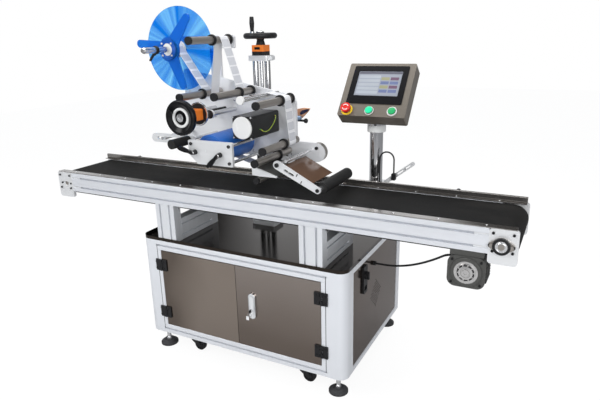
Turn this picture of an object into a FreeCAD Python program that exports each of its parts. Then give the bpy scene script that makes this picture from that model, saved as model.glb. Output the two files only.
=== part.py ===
import FreeCAD, Part
import math
import os

os.makedirs("parts", exist_ok=True)
V = FreeCAD.Vector

# Flat surface labelling machine, in millimetres.
# X runs along the belt, products travel towards +X, the operator stands at -Y, Z is up.
# The origin lies on the floor, under the middle of the whole machine.

# Driving dimensions of the conveyor
conveyor_length = 2000.0
conveyor_width = 318.0
beam_top = 784.0
beam_height = 85.0
beam_thick = 30.0
belt_thick = 2.5
belt_drop = 1.0
end_roller_r = 47.5
belt_overhang = 2.0
end_plate_length = 88.0
end_plate_height = 115.0
end_plate_thick = 12.0

# Driving dimensions of the cabinet
cabinet_width = 960.0
cabinet_depth = 690.0
cabinet_bottom = 87.0
cabinet_top = 533.0
cabinet_shift = -43.0
depth_shift = 35.0
corner_size = 76.0
corner_round = 38.0
corner_wall = 24.0
rail_size = 44.0
sheet_thick = 1.5
door_thick = 18.0
door_gap = 2.0
tray_rim = 14.0

# Driving dimensions of the column and the label head
column_shift = -68.0
column_behind = 66.0
column_top = 1266.0
column_rod_r = 12.5
column_rod_gap = 58.0
head_plate_thick = 12.0
head_plate_clear = 60.0
guide_roller_r = 14.0
guide_cap_r = 15.0
guide_ring_r = 21.0
spindle_r = 5.0
web_width = 54.0
web_thick = 0.4

# Named clearances
clear = 0.3
running = 0.05
slack = 1.0

# Places worked out from the driving dimensions
front_y = depth_shift - cabinet_depth / 2
line_y = front_y + 1.0 + conveyor_width / 2
beam_outer = conveyor_width / 2
beam_inner = beam_outer - beam_thick
half_length = conveyor_length / 2
belt_top = beam_top - belt_drop
belt_half = beam_inner - 3.0
belt_r = end_roller_r + belt_thick
roller_x = half_length + belt_overhang - belt_r
roller_z = belt_top - belt_r
beam_end = half_length - end_plate_length
cab_left = cabinet_shift - cabinet_width / 2
cab_right = cabinet_shift + cabinet_width / 2
back_y = depth_shift + cabinet_depth / 2
tray_z = cabinet_top + clear
column_x = cabinet_shift + column_shift
column_y = line_y + beam_outer + column_behind
plate_front = line_y + beam_outer - head_plate_clear - head_plate_thick
plate_back = plate_front + head_plate_thick


def box(xs, ys, zs):
    """A block between pairs of x, y and z values."""
    size = [pair[1] - pair[0] for pair in (xs, ys, zs)]
    return Part.makeBox(size[0], size[1], size[2], V(xs[0], ys[0], zs[0]))


AXES = {"x": V(1, 0, 0), "y": V(0, 1, 0), "z": V(0, 0, 1)}


def spot(axis, at, along):
    """The point at a place across an axis, that far along it."""
    if axis == "x":
        return V(along, at[0], at[1])
    if axis == "y":
        return V(at[0], along, at[1])
    return V(at[0], at[1], along)


def rod(axis, at, radius, start, end):
    """A round bar along an axis, at a place across it."""
    return Part.makeCylinder(radius, end - start, spot(axis, at, start), AXES[axis])


def tube(axis, at, radius, bore, start, end):
    """A round bar with a bore."""
    return rod(axis, at, radius, start, end).cut(rod(axis, at, bore, start, end))


def cone(axis, at, first, last, start, end):
    """A round bar that tapers from its first radius to its last."""
    return Part.makeCone(first, last, end - start, spot(axis, at, start), AXES[axis])


def join(shapes):
    """One solid from pieces that touch."""
    whole = shapes[0]
    for shape in shapes[1:]:
        whole = whole.fuse(shape)
    return whole.removeSplitter()


def soften(shape, radius, axis, near=None):
    """Rounds the edges that run along an axis, all of them or those near a place across it."""
    edges = []
    for edge in shape.Edges:
        if len(edge.Vertexes) == 2:
            run = edge.Vertexes[1].Point - edge.Vertexes[0].Point
            if run.Length > 0 and abs(abs(run.normalize().dot(AXES[axis])) - 1) < 1e-6:
                away = spot(axis, near, 0) - edge.Vertexes[0].Point if near else V(0, 0, 0)
                if (away - AXES[axis] * away.dot(AXES[axis])).Length < 1.0:
                    edges.append(edge)
    return shape.makeFillet(radius, edges)


def polygon(points, axis, start, end):
    """A prism along an axis, from corner points given across it."""
    corners = [spot(axis, at, start) for at in points]
    face = Part.Face(Part.makePolygon(corners + corners[:1]))
    return face.extrude(AXES[axis] * (end - start))


def link(first, r_first, last, r_last, start, end):
    """A flat bar in the XZ plane whose two round ends are joined by straight edges."""
    run = V(last[0] - first[0], 0, last[1] - first[1])
    length = run.Length
    lean = math.atan2(run.z, run.x)
    open_angle = math.acos((r_first - r_last) / length)
    corners = []
    for centre, radius, side in ((first, r_first, 1), (last, r_last, 1), (last, r_last, -1),
                                 (first, r_first, -1)):
        angle = lean + side * open_angle
        corners.append(V(centre[0] + radius * math.cos(angle), start, centre[1] + radius * math.sin(angle)))
    tip = V(last[0] + r_last * math.cos(lean), start, last[1] + r_last * math.sin(lean))
    tail = V(first[0] - r_first * math.cos(lean), start, first[1] - r_first * math.sin(lean))
    edges = [Part.makeLine(corners[0], corners[1]), Part.Arc(corners[1], tip, corners[2]).toShape()]
    edges += [Part.makeLine(corners[2], corners[3]), Part.Arc(corners[3], tail, corners[0]).toShape()]
    return Part.Face(Part.Wire(edges)).extrude(V(0, end - start, 0))


def ring_of(count, radius, centre, first_angle=0.0):
    """Points evenly spaced on a circle."""
    turn = 2 * math.pi / count
    angles = [first_angle + turn * step for step in range(count)]
    return [(centre[0] + radius * math.cos(a), centre[1] + radius * math.sin(a)) for a in angles]


nodes = {}


def keep(name, *shapes):
    """Files the solids of one named piece or group of like pieces."""
    nodes[name] = Part.makeCompound(list(shapes)) if len(shapes) > 1 else shapes[0]


# Slotted aluminium profile
slot_mouth = 8.0
slot_lip = 4.0
slot_inner = 16.0
slot_depth = 11.0


def slot_section(u, v, du, dv):
    """The T-shaped slot that opens at (u, v) and goes in along (du, dv)."""
    half = slot_mouth / 2
    wide = slot_inner / 2
    steps = [(-half, -1), (half, -1), (half, slot_lip), (wide, slot_lip), (half, slot_depth)]
    steps += [(-half, slot_depth), (-wide, slot_lip), (-half, slot_lip)]
    return [(u + a * dv + d * du, v + a * du + d * dv) for a, d in steps]


def profile(axis, us, vs, start, end, slots):
    """A bar of slotted profile along an axis; each slot is (u, v, du, dv)."""
    corners = [(us[0], vs[0]), (us[1], vs[0]), (us[1], vs[1]), (us[0], vs[1])]
    bar = soften(polygon(corners, axis, start, end), 2.0, axis)
    for slot in slots:
        bar = bar.cut(polygon(slot_section(*slot), axis, start - slack, end + slack))
    return bar


# Cabinet frame: four rounded corner posts and eight rails
foot_plate_thick = 8.0
door_sill = cabinet_bottom + rail_size
door_head = cabinet_top - rail_size


def corner_post(side_x, side_y):
    """An L-shaped corner profile, rounded outside, with a plate for the foot at its bottom."""
    outer_x = cab_left if side_x < 0 else cab_right
    outer_y = front_y if side_y < 0 else back_y
    xs = sorted((outer_x, outer_x - side_x * corner_size))
    ys = sorted((outer_y, outer_y - side_y * corner_size))
    post = box(xs, ys, (cabinet_bottom, cabinet_top))
    edge = [e for e in post.Edges if abs(e.CenterOfMass.x - outer_x) < 1e-6
            and abs(e.CenterOfMass.y - outer_y) < 1e-6]
    post = post.makeFillet(corner_round, edge)
    inner_x = sorted((outer_x - side_x * corner_wall, outer_x - side_x * (corner_size + slack)))
    inner_y = sorted((outer_y - side_y * corner_wall, outer_y - side_y * (corner_size + slack)))
    return post.cut(box(inner_x, inner_y, (cabinet_bottom + foot_plate_thick, cabinet_top + slack)))


keep("corner_posts", *[corner_post(sx, sy) for sx in (-1, 1) for sy in (-1, 1)])

stile_width = 23.0
side_rail_height = 22.0
post_in_left = cab_left + corner_size
post_in_right = cab_right - corner_size
post_in_front = front_y + corner_size
post_in_back = back_y - corner_size


def cabinet_rails():
    """Front and back rails with one slot, slim side rails, and the two stiles beside the doors."""
    rails = []
    for low in (cabinet_bottom, door_head):
        middle = low + rail_size / 2
        front = (front_y, front_y + rail_size)
        back = (back_y - rail_size, back_y)
        rails.append(profile("x", front, (low, low + rail_size), post_in_left, post_in_right,
                             [(front_y, middle, 1, 0)]))
        rails.append(profile("x", back, (low, low + rail_size), post_in_left, post_in_right,
                             [(back_y, middle, -1, 0)]))
    for low in (cabinet_bottom, cabinet_top - side_rail_height):
        for xs in ((cab_left, cab_left + rail_size), (cab_right - rail_size, cab_right)):
            rails.append(box(xs, (post_in_front, post_in_back), (low, low + side_rail_height)))
    for xs in ((post_in_left, post_in_left + stile_width), (post_in_right - stile_width, post_in_right)):
        rails.append(box(xs, (front_y, front_y + rail_size), (door_sill, door_head)))
    return rails


keep("frame_rails", *cabinet_rails())


def rounded_slab(inset, start, end):
    """The cabinet's outline with round corners, drawn in by an inset."""
    slab = box((cab_left + inset, cab_right - inset), (front_y + inset, back_y - inset), (start, end))
    return soften(slab, corner_round - inset, "z")


tray_wall = 1.5
tray_floor = tray_z + 3.0
tray = rounded_slab(0.0, tray_z, tray_z + tray_rim)
tray = tray.cut(rounded_slab(tray_wall, tray_floor, tray_z + tray_rim + slack))
keep("top_tray", tray)

# Stainless side, back and bottom sheets, and the switch unit on the right side
panel_inset = 3.0
vent_rows = 11
vent_pitch = 12.0
vent_hole_r = 4.0
vent_middle = (line_y + 178.0, cabinet_bottom + 226.0)
switch_box = (line_y + 14.0, line_y + 54.0, cabinet_bottom + 292.0, cabinet_bottom + 408.0)
switch_proud = 8.0
switch_drop = 40.0
cable_hole = (line_y + 144.0, cabinet_bottom + 375.0)
cord_r = 4.0
gland_r = 9.0


def side_panel(xs):
    """A side sheet between the corner posts and the slim rails."""
    zs = (cabinet_bottom + side_rail_height + clear, cabinet_top - side_rail_height - clear)
    return box(xs, (post_in_front + clear, post_in_back - clear), zs)


def right_panel():
    """The right sheet with a diamond of round vent holes and the cable hole."""
    outside = cab_right - panel_inset
    sheet = side_panel((outside - sheet_thick, outside))
    holes = []
    half = vent_rows // 2
    for row in range(-half, half + 1):
        across = half - abs(row)
        for step in range(-across, across + 1):
            at = (vent_middle[0] + step * vent_pitch, vent_middle[1] + row * vent_pitch)
            hole = ring_of(4, vent_hole_r, at)
            holes.append(polygon(hole, "x", outside - sheet_thick - slack, outside + slack))
    sheet = sheet.cut(Part.makeCompound(holes))
    return sheet.cut(rod("x", cable_hole, cord_r + clear, outside - sheet_thick - slack, outside + slack))


def switch_unit():
    """The black housing on the right side that holds the mains switch and the inlet socket."""
    face = cab_right - panel_inset + switch_proud
    body = box((cab_right - panel_inset, face), switch_box[:2], switch_box[2:])
    body = soften(body, 6.0, "x")
    low = (switch_box[0] + switch_box[1]) / 2
    socket = box((face - 6.0, face + slack), (low - 13.0, low + 13.0),
                 (switch_box[2] + 12.0, switch_box[2] + 32.0))
    knob_bore = rod("x", (low, switch_box[3] - switch_drop), 6.0 + running, face - 7.0, face + slack)
    return body.cut(socket).cut(knob_bore)


left_outside = cab_left + panel_inset
back_sheet = box((post_in_left + clear, post_in_right - clear),
                 (back_y - panel_inset - sheet_thick, back_y - panel_inset),
                 (door_sill + clear, door_head - clear))
bottom_sheet = box((post_in_left + clear, post_in_right - clear),
                   (front_y + rail_size + clear, back_y - rail_size - clear),
                   (cabinet_bottom, cabinet_bottom + 3.0))
cable_gland = tube("x", cable_hole, gland_r, cord_r + clear, cab_right - panel_inset, cab_right + 8.0)

# Swivel casters at the four corners, carried by plates under the bottom sheet
caster_x = 275.0
caster_front = line_y - 105.0
caster_back = line_y + 475.0
caster_trail = 26.0
wheel_r = 27.0
wheel_width = 20.0
wheel_z = 35.0
swivel_pin_r = 5.0
caster_plate_thick = 6.0
fork_top = cabinet_bottom - caster_plate_thick
caster_spots = [(cabinet_shift - caster_x, caster_front), (cabinet_shift + caster_x, caster_front),
                (cabinet_shift - caster_x, caster_back), (cabinet_shift + caster_x, caster_back)]
fork_wall = 3.0
fork_half = wheel_width / 2 + 2.0
axle_r = 4.0


def caster_plate(at):
    """A screw-on plate with the downward king pin of the caster."""
    plate = box((at[0] - 38.0, at[0] + 38.0), (at[1] - 30.0, at[1] + 30.0), (fork_top, cabinet_bottom))
    pin = rod("z", at, swivel_pin_r, fork_top - 12.0, fork_top)
    return join([soften(plate, 6.0, "z"), pin])


def caster_fork(at):
    """The swivel fork: a round head, two cheeks that lean back and the axle between them."""
    head_low = wheel_z + wheel_r + 3.0
    head = rod("z", at, 20.0, head_low, fork_top - clear)
    hub = (at[0] + caster_trail, wheel_z)
    cheeks = []
    for side in (-1, 1):
        inner = at[1] + side * fork_half
        ys = sorted((inner, inner + side * fork_wall))
        cheek = link((at[0], head_low - 2.0), 16.0, hub, 9.0, ys[0], ys[1])
        cheeks.append(cheek)
    bridge = box((at[0] - 14.0, at[0] + 14.0),
                 (at[1] - fork_half - fork_wall, at[1] + fork_half + fork_wall),
                 (head_low, head_low + 4.0))
    axle = rod("y", hub, axle_r, at[1] - fork_half - fork_wall, at[1] + fork_half + fork_wall)
    whole = join([head, bridge] + cheeks + [axle])
    bore = rod("z", at, swivel_pin_r + running, head_low + 1.0, fork_top)
    return whole.cut(bore)


def caster_wheel(at):
    """The caster wheel: a rounded tyre with dished sides and an axle bore."""
    hub = (at[0] + caster_trail, wheel_z)
    half = wheel_width / 2
    wheel = rod("y", hub, wheel_r, at[1] - half, at[1] + half)
    rims = [e for e in wheel.Edges if abs(e.Length - 2 * math.pi * wheel_r) < 1e-3]
    wheel = wheel.makeFillet(3.0, rims)
    for side in (-1, 1):
        ys = sorted((at[1] + side * (half - 3.0), at[1] + side * (half + slack)))
        dish = tube("y", hub, wheel_r - 8.0, axle_r + 5.0, ys[0], ys[1])
        wheel = wheel.cut(dish)
    return wheel.cut(rod("y", hub, axle_r + running, at[1] - half - slack, at[1] + half + slack))


keep("cabinet_panels", side_panel((left_outside, left_outside + sheet_thick)), right_panel(), back_sheet,
     bottom_sheet, switch_unit(), cable_gland, *[caster_plate(at) for at in caster_spots])
for number, at in enumerate(caster_spots, 1):
    keep(f"caster_fork_{number}", caster_fork(at))
    keep(f"caster_wheel_{number}", caster_wheel(at))

# Turning mains switch
switch_middle = (switch_box[0] + switch_box[1]) / 2
switch_at = (switch_middle, switch_box[3] - switch_drop)
switch_face = cab_right - panel_inset + switch_proud
switch_stem = rod("x", switch_at, 6.0, switch_face - 5.0, switch_face + 2.0)
switch_disc = rod("x", switch_at, 17.0, switch_face + clear, switch_face + 6.0)
switch_bar = box((switch_face + 5.0, switch_face + 15.0), (switch_middle - 5.0, switch_middle + 5.0),
                 (switch_at[1] - 16.0, switch_at[1] + 16.0))
keep("main_switch", join([switch_stem, switch_disc, soften(switch_bar, 2.0, "x")]))

# Levelling feet
foot_inset = 51.4
foot_r = 39.0
foot_pad_height = 20.0
foot_stud_r = 9.0


def levelling_foot(at):
    """A domed pad on a threaded stud with its lock nut."""
    pad = Part.makeCone(foot_r, foot_r - 15.0, foot_pad_height - 8.0, V(at[0], at[1], 8.0))
    base = rod("z", at, foot_r, 0.0, 8.0)
    stud = rod("z", at, foot_stud_r, foot_pad_height, cabinet_bottom)
    nut = polygon(ring_of(6, 16.0, at), "z", cabinet_bottom - 12.0, cabinet_bottom)
    collar = rod("z", at, 13.0, foot_pad_height, foot_pad_height + 10.0)
    return [join([base, pad]), join([stud, nut, collar])]


foot_spots = [(x, y) for x in (cab_left + foot_inset, cab_right - foot_inset)
              for y in (front_y + foot_inset, back_y - foot_inset)]
keep("levelling_feet", *[solid for at in foot_spots for solid in levelling_foot(at)])

# Doors, their hinges and the lock
door_left_edge = post_in_left + stile_width
door_right_edge = post_in_right - stile_width
door_skin = 1.5
hinge_heights = (cabinet_bottom + 109.0, cabinet_bottom + 334.0)
hinge_height = 52.0
hinge_leaf_thick = 5.0
hinge_reach = 28.0
hinge_pin_r = 2.5
hinge_barrel_r = 6.0
hinge_pin_y = front_y - 4.0
lock_at = (cabinet_shift + 76.0, cabinet_bottom + 237.0)
lock_width = 32.0
lock_height = 112.0


def door_pan(x_low, x_high):
    """A folded stainless door, open at the back."""
    zs = (door_sill + door_gap, door_head - door_gap)
    pan = box((x_low, x_high), (front_y, front_y + door_thick), zs)
    inside = box((x_low + door_skin, x_high - door_skin),
                 (front_y + door_skin, front_y + door_thick + slack),
                 (zs[0] + door_skin, zs[1] - door_skin))
    return pan.cut(inside)


def hinge_leaf(x_pin, side, low, high, knuckles):
    """A plastic hinge leaf; side tells which way it reaches from the pin, knuckles are its z pairs."""
    xs = sorted((x_pin + side * 1.5, x_pin + side * hinge_reach))
    leaf = soften(box(xs, (front_y - hinge_leaf_thick, front_y - clear / 2), (low, high)), 1.5, "y")
    leaf = leaf.cut(rod("z", (x_pin, hinge_pin_y), hinge_barrel_r + clear, low - slack, high + slack))
    for pair in knuckles:
        web = box(sorted((x_pin, x_pin + side * (hinge_barrel_r + 2.0))),
                  (hinge_pin_y - 3.0, front_y - clear), pair)
        leaf = leaf.fuse(rod("z", (x_pin, hinge_pin_y), hinge_barrel_r - 2.2, pair[0], pair[1])).fuse(web)
    return leaf.removeSplitter().cut(rod("z", (x_pin, hinge_pin_y), hinge_pin_r + running, low - slack,
                                         high + slack))


def hinge_set(x_pin, side):
    """Frame leaves with their pins, and door leaves, of one door."""
    frame, door = [], []
    for middle in hinge_heights:
        low, high = middle - hinge_height / 2, middle + hinge_height / 2
        third = hinge_height / 3
        ends = [(low, low + third - clear), (high - third + clear, high)]
        frame.append(hinge_leaf(x_pin, side, low, high, ends))
        frame.append(rod("z", (x_pin, hinge_pin_y), hinge_pin_r, low, high))
        door.append(hinge_leaf(x_pin, -side, low, high, [(low + third, high - third)]))
    return frame, door


middle_x = (door_left_edge + door_right_edge) / 2
left_frame, left_leaves = hinge_set(door_left_edge, -1)
right_frame, right_leaves = hinge_set(door_right_edge, 1)
keep("hinge_frame_leaves", *left_frame, *right_frame)


def oval(at, width, height, start, end):
    """An upright plate with half-round ends, along Y."""
    half = (height - width) / 2
    return link((at[0], at[1] - half), width / 2, (at[0], at[1] + half), width / 2 - 1e-3, start, end)


lock_proud = 6.0
handle_width = 20.0
handle_length = 70.0
lock_plate = oval(lock_at, lock_width, lock_height, front_y - lock_proud, front_y - clear / 2)
recess = oval((lock_at[0], lock_at[1] + 8.0), handle_width + 4.0, handle_length + 12.0,
              front_y - lock_proud - slack, front_y - 2.0)
keep("left_door", door_pan(door_left_edge + door_gap, middle_x - door_gap / 2), *left_leaves)
handle_pin_r = 1.0
handle_knuckle_r = 2.1
handle_hinge = (front_y - 4.4, lock_at[1] - 24.5)
handle_pin = rod("x", handle_hinge, handle_pin_r, lock_at[0] - 13.0, lock_at[0] + 13.0)
keep("right_door", door_pan(middle_x + door_gap / 2, door_right_edge - door_gap), *right_leaves,
     join([lock_plate.cut(recess), handle_pin]))
handle = oval((lock_at[0], lock_at[1] + 8.0), handle_width, handle_length, front_y - lock_proud - 2.0,
              front_y - 2.0 - clear)
handle = handle.cut(box((lock_at[0] - handle_width, lock_at[0] + handle_width), (front_y - 12.0, front_y),
                        (handle_hinge[1] - 20.0, handle_hinge[1])))
knuckle = rod("x", handle_hinge, handle_knuckle_r, lock_at[0] - 6.5, lock_at[0] + 6.5)
knuckle_bore = rod("x", handle_hinge, handle_pin_r + running, lock_at[0] - 12.0, lock_at[0] + 12.0)
key_at = (lock_at[0], lock_at[1] - 14.0)
key = join([rod("y", key_at, 7.0, front_y - lock_proud - 4.0, front_y - lock_proud - 1.0),
            box((key_at[0] - 1.0, key_at[0] + 1.0),
                (front_y - lock_proud - 22.0, front_y - lock_proud - 3.5),
                (key_at[1] - 9.0, key_at[1] + 5.0))])
keep("lock_handle", join([handle, knuckle, key]).cut(knuckle_bore))


def px(value):
    """A place along the belt, measured from the middle of the cabinet."""
    return cabinet_shift + value


def py(value):
    """A place in depth, measured from the centre line of the belt."""
    return line_y + value


def pair(first, last, shift=0.0):
    """Two ends moved by a shift."""
    return (shift + first, shift + last)


def at_xz(x, z):
    """A place across Y, its x measured from the middle of the cabinet."""
    return (px(x), z)


# Conveyor beams with two slots outside
beam_bottom = beam_top - beam_height
slot_heights = (beam_bottom + beam_height / 4, beam_top - beam_height / 4)


def beam(side):
    """A side beam of the conveyor."""
    outer = line_y + side * beam_outer
    ys = sorted((outer, line_y + side * beam_inner))
    slots = [(outer, height, -side, 0) for height in slot_heights]
    return profile("x", ys, (beam_bottom, beam_top), -beam_end, beam_end, slots)


keep("conveyor_beams", beam(-1), beam(1))

# End plates with oblong take-up slots on the left and flange bearings on the right
shaft_r = 10.0
take_up = 69.0
flange_thick = 9.0


def end_plate(side_x, side_y):
    """A plate in line with the beam, with tongues in its slots and the bore of the roller shaft."""
    outer = line_y + side_y * beam_outer
    ys = sorted((outer, outer - side_y * end_plate_thick))
    xs = sorted((side_x * beam_end, side_x * half_length))
    plate = soften(box(xs, ys, (beam_top - end_plate_height, beam_top + 1.0)), 10.0, "y")
    for height in slot_heights:
        tongue_x = sorted((side_x * (beam_end + 2.0), side_x * (beam_end - 45.0)))
        tongue_y = sorted((outer - side_y * 4.2, outer - side_y * 9.0))
        plate = plate.fuse(box(tongue_x, tongue_y, (height - 4.5, height + 4.5)))
    if side_x < 0:
        groove = oval_flat(side_x * roller_x, roller_z, take_up, 16.0,
                           *sorted((outer - side_y * 3.0, outer + side_y)))
        plate = plate.cut(groove)
    plate = plate.removeSplitter()
    return plate.cut(rod("y", (side_x * roller_x, roller_z), shaft_r + running, ys[0] - slack, ys[1]
                         + slack))


def oval_flat(x, z, length, height, start, end):
    """A bar along Y whose section is a level oblong with round ends."""
    reach = (length - height) / 2
    return link((x - reach, z), height / 2, (x + reach, z), height / 2, start, end)


def flange_bearing(side_y):
    """An oval flange bearing with its raised ring and two bolt heads."""
    outer = line_y + side_y * beam_outer
    middle = (roller_x, roller_z)
    ys = sorted((outer, outer + side_y * flange_thick))
    wings = [link(middle, 26.0, (roller_x + way * 30.0, roller_z), 10.0, *ys) for way in (-1, 1)]
    proud = sorted((outer, outer + side_y * (flange_thick + 6.0)))
    ring = rod("y", middle, 18.5, *proud)
    heads = [polygon(ring_of(6, 7.0, (roller_x + way * 30.0, roller_z)), "y",
                     *sorted((outer, outer + side_y * 14.0)))
             for way in (-1, 1)]
    whole = join(wings + [ring] + heads)
    return whole.cut(rod("y", middle, shaft_r + running, proud[0] - slack, proud[1] + slack))


keep("end_plates", *[end_plate(sx, sy) for sx in (-1, 1) for sy in (-1, 1)],
     flange_bearing(-1), flange_bearing(1))

# End rollers on their shafts
crown = 0.4


def end_roller(side):
    """A crowned end roller with its shaft."""
    middle = (side * roller_x, roller_z)
    roller_r = end_roller_r - running
    half = belt_half + 1.0
    left = cone("y", middle, roller_r - crown, roller_r, line_y - half, line_y - half / 3)
    centre = rod("y", middle, roller_r, line_y - half / 3, line_y + half / 3)
    right = cone("y", middle, roller_r, roller_r - crown, line_y + half / 3, line_y + half)
    reach = beam_outer + (flange_thick + 9.0 if side > 0 else -3.5)
    shaft = rod("y", middle, shaft_r, line_y - reach, line_y + reach)
    return join([left, centre, right, shaft])


keep("drive_roller", end_roller(1))
keep("idler_roller", end_roller(-1))


def stadium(radius, half):
    """A long loop around both end rollers."""
    return link((-roller_x, roller_z), radius, (roller_x, roller_z), radius, line_y - half, line_y + half)


keep("conveyor_belt", stadium(belt_r, belt_half).cut(stadium(end_roller_r, belt_half + slack)))

bed_end = roller_x - end_roller_r - 8.0
bed_top = belt_top - belt_thick - clear
bed_half = beam_inner - clear
slider = box((-bed_end, bed_end), (line_y - bed_half, line_y + bed_half), (bed_top - 2.0, bed_top))
ties = [rod("y", (x, beam_bottom + 42.0), 12.0, line_y - beam_inner, line_y + beam_inner)
        for x in (-620.0, 0.0, 620.0)]
keep("slider_bed", slider, *ties)

# Edge strips beside the belt and the rail along the back
strip_thick = 2.5
strip_inner = belt_half + slack
strip_x = (-half_length + 6.0, half_length - 8.0)
front_strip = box(strip_x, pair(-beam_outer + 1.0, -strip_inner, line_y),
                  (beam_top + 1.0, beam_top + 1.0 + strip_thick))
back_strip = box(strip_x, pair(strip_inner, beam_outer - 1.0, line_y),
                 (beam_top + 1.0, beam_top + 1.0 + strip_thick))
rail_low = beam_top + 1.0 + strip_thick
rail = soften(box(strip_x, pair(beam_outer - 18.0, beam_outer - 6.0, line_y), (rail_low, rail_low + 20.0)),
              2.0, "x")
rail_knob = [rod("y", (px(x), rail_low + 10.0), 9.0, py(beam_outer - 6.0), py(beam_outer + 14.0))
             for x in (793.0, -760.0)]
keep("edge_guides", front_strip, back_strip, rail, *rail_knob)

# Support posts and the cross profiles on the tray
post_width = 96.0
post_depth = 45.0
post_spots = (-339.0, 339.0)
back_post_y = 99.0
cross_height = 95.0


def support_posts():
    """Four upright posts, each with two slots in front, and the cross profiles between them."""
    made = []
    belt_room = box((-half_length, half_length), pair(-belt_half - 2.0, belt_half + 2.0, line_y),
                    (roller_z - belt_r - 6.0, beam_bottom + slack))
    for middle in post_spots:
        us = pair(middle - post_width / 2, middle + post_width / 2, cabinet_shift)
        for start in (-beam_outer + slack, back_post_y):
            ys = pair(start, start + post_depth, line_y)
            slots = [(px(middle + way * post_width / 4), ys[0], 0, 1) for way in (-1, 1)]
            post = profile("z", us, ys, tray_floor, beam_bottom, slots)
            made.append(post.cut(belt_room))
        between = pair(-beam_outer + slack + post_depth, back_post_y, line_y)
        low = (tray_floor, tray_floor + cross_height)
        side = px(middle) + post_width / 2 - 22.0
        cross_slots = [(side + 22.0, tray_floor + cross_height * part, -1, 0) for part in (0.25, 0.75)]
        made.append(profile("y", (side - 23.0, side + 22.0), low, between[0], between[1], cross_slots))
    return made


keep("support_posts", *support_posts())

# Drive gear motor under the right end of the beams
motor_mid = (beam_end - 60.5, beam_bottom - 73.0)
motor_half = 60.0
motor_front = py(-beam_outer - 1.0)
motor_ring_r = 47.0
motor_box = soften(box((motor_mid[0] - motor_half, motor_mid[0] + motor_half),
                       (motor_front, motor_front + 92.0),
                       (motor_mid[1] - 54.0, motor_mid[1] + 54.0)), 27.0, "y")
motor_face = rod("y", motor_mid, motor_ring_r, motor_front - 5.0, motor_front)
motor_well = tube("y", motor_mid, motor_ring_r - 5.0, 14.0, motor_front - 5.0 - slack, motor_front - 2.0)
motor_body = join([motor_box, motor_face]).cut(motor_well)
gear_box = box((motor_mid[0] - 40.0, motor_mid[0] + 40.0), (motor_front + 92.0, motor_front + 200.0),
               (motor_mid[1] - 40.0, motor_mid[1] + 50.0))
motor_hanger = box((motor_mid[0] - 55.0, motor_mid[0] + 50.0), (motor_front + 3.0, line_y - beam_inner),
                   (motor_mid[1] + 54.0, beam_bottom))
keep("drive_motor", motor_body, soften(gear_box, 10.0, "y"), motor_hanger)

# Column: foot, two chromed rods, top plate and the height pointer
column_screw_r = 8.0
foot_top = tray_floor + 26.0
rod_places = [(column_x - column_rod_gap / 2, column_y), (column_x + column_rod_gap / 2, column_y)]
top_low = column_top - 4.0
top_high = top_low + 22.0
bearing_high = top_high + 16.0
pointer_high = bearing_high + 26.0
pointer_half = 29.0


def column_block(half_x, half_y, zs, radius):
    """A block around the column's middle with rounded corners."""
    block = box((column_x - half_x, column_x + half_x), (column_y - half_y, column_y + half_y), zs)
    return soften(block, radius, "z")


def column_parts():
    """The fixed parts of the column, bored for the lift screw."""
    base = column_block(60.0, 42.0, (tray_floor, foot_top), 8.0)
    plate = column_block(46.0, 32.0, (top_low, top_high), 8.0)
    tab = box((column_x + 46.0, column_x + 60.0), (column_y - 12.0, column_y + 12.0),
              (top_low + 3.0, top_high - 3.0))
    bearing = column_block(pointer_half, pointer_half, (top_high, bearing_high), 6.0)
    pointer = column_block(pointer_half, pointer_half, (bearing_high, pointer_high), 6.0)
    hole = rod("z", (column_x, column_y), column_screw_r + running, tray_floor + 6.0, pointer_high + slack)
    bars = [rod("z", at, column_rod_r, foot_top, top_low) for at in rod_places]
    return [base.cut(hole), join([plate, tab]).cut(hole), bearing.cut(hole), pointer.cut(hole)] + bars


keep("column_frame", *column_parts())

# Handwheel on top, fixed to the lift screw, with a revolving grip
wheel_low = pointer_high + 22.0
wheel_top = wheel_low + 30.0
top_wheel_r = 71.0
rim_share = 0.4
grip_r = 10.5
grip_pin_r = 4.0
grip_length = 60.0
grip_angle = math.radians(156.0)


def hand_wheel(axis, at, radius, start, end, spokes, hub_radius):
    """A rim, flat spokes and a hub along an axis; the rim is round in section."""
    thick = (end - start) * rim_share
    middle = (start + end) / 2
    rim = Part.makeTorus(radius - thick, thick, spot(axis, at, middle), AXES[axis])
    pieces = [rod(axis, at, hub_radius, start, end), rim]
    for place in ring_of(spokes, 1.0, (0.0, 0.0), grip_angle):
        step = (place[0] * (radius - thick), place[1] * (radius - thick))
        side = (-place[1] * 6.0, place[0] * 6.0)
        corners = [(at[0] + side[0], at[1] + side[1]), (at[0] - side[0], at[1] - side[1]),
                   (at[0] + step[0] - side[0], at[1] + step[1] - side[1]),
                   (at[0] + step[0] + side[0], at[1] + step[1] + side[1])]
        pieces.append(polygon(corners, axis, middle - 3.0, middle + 3.0))
    return pieces


wheel_at = (column_x, column_y)
lift_hub = cone("z", wheel_at, 20.0, 14.0, pointer_high + clear, wheel_low + 2.0)
lift_screw = rod("z", wheel_at, column_screw_r, tray_floor + 6.0 + clear, wheel_low + 2.0)
grip_reach = top_wheel_r - 12.0
grip_at = (column_x + grip_reach * math.cos(grip_angle), column_y + grip_reach * math.sin(grip_angle))
grip_low = wheel_top + 3.0
grip_boss = rod("z", grip_at, 9.5, wheel_low + 12.0, grip_low - clear)
grip_pin = rod("z", grip_at, grip_pin_r, wheel_low + 12.0, grip_low + grip_length - 8.0)
top_wheel = join(hand_wheel("z", wheel_at, top_wheel_r, wheel_low, wheel_top, 3, 17.0)
                 + [lift_hub, lift_screw])
keep("top_handwheel", join([top_wheel, grip_boss, grip_pin]))
grip_body = join([cone("z", grip_at, grip_r - 3.0, grip_r, grip_low, grip_low + grip_length * 0.55),
                  cone("z", grip_at, grip_r, grip_r - 2.0, grip_low + grip_length * 0.55, grip_low
                       + grip_length)])
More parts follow.
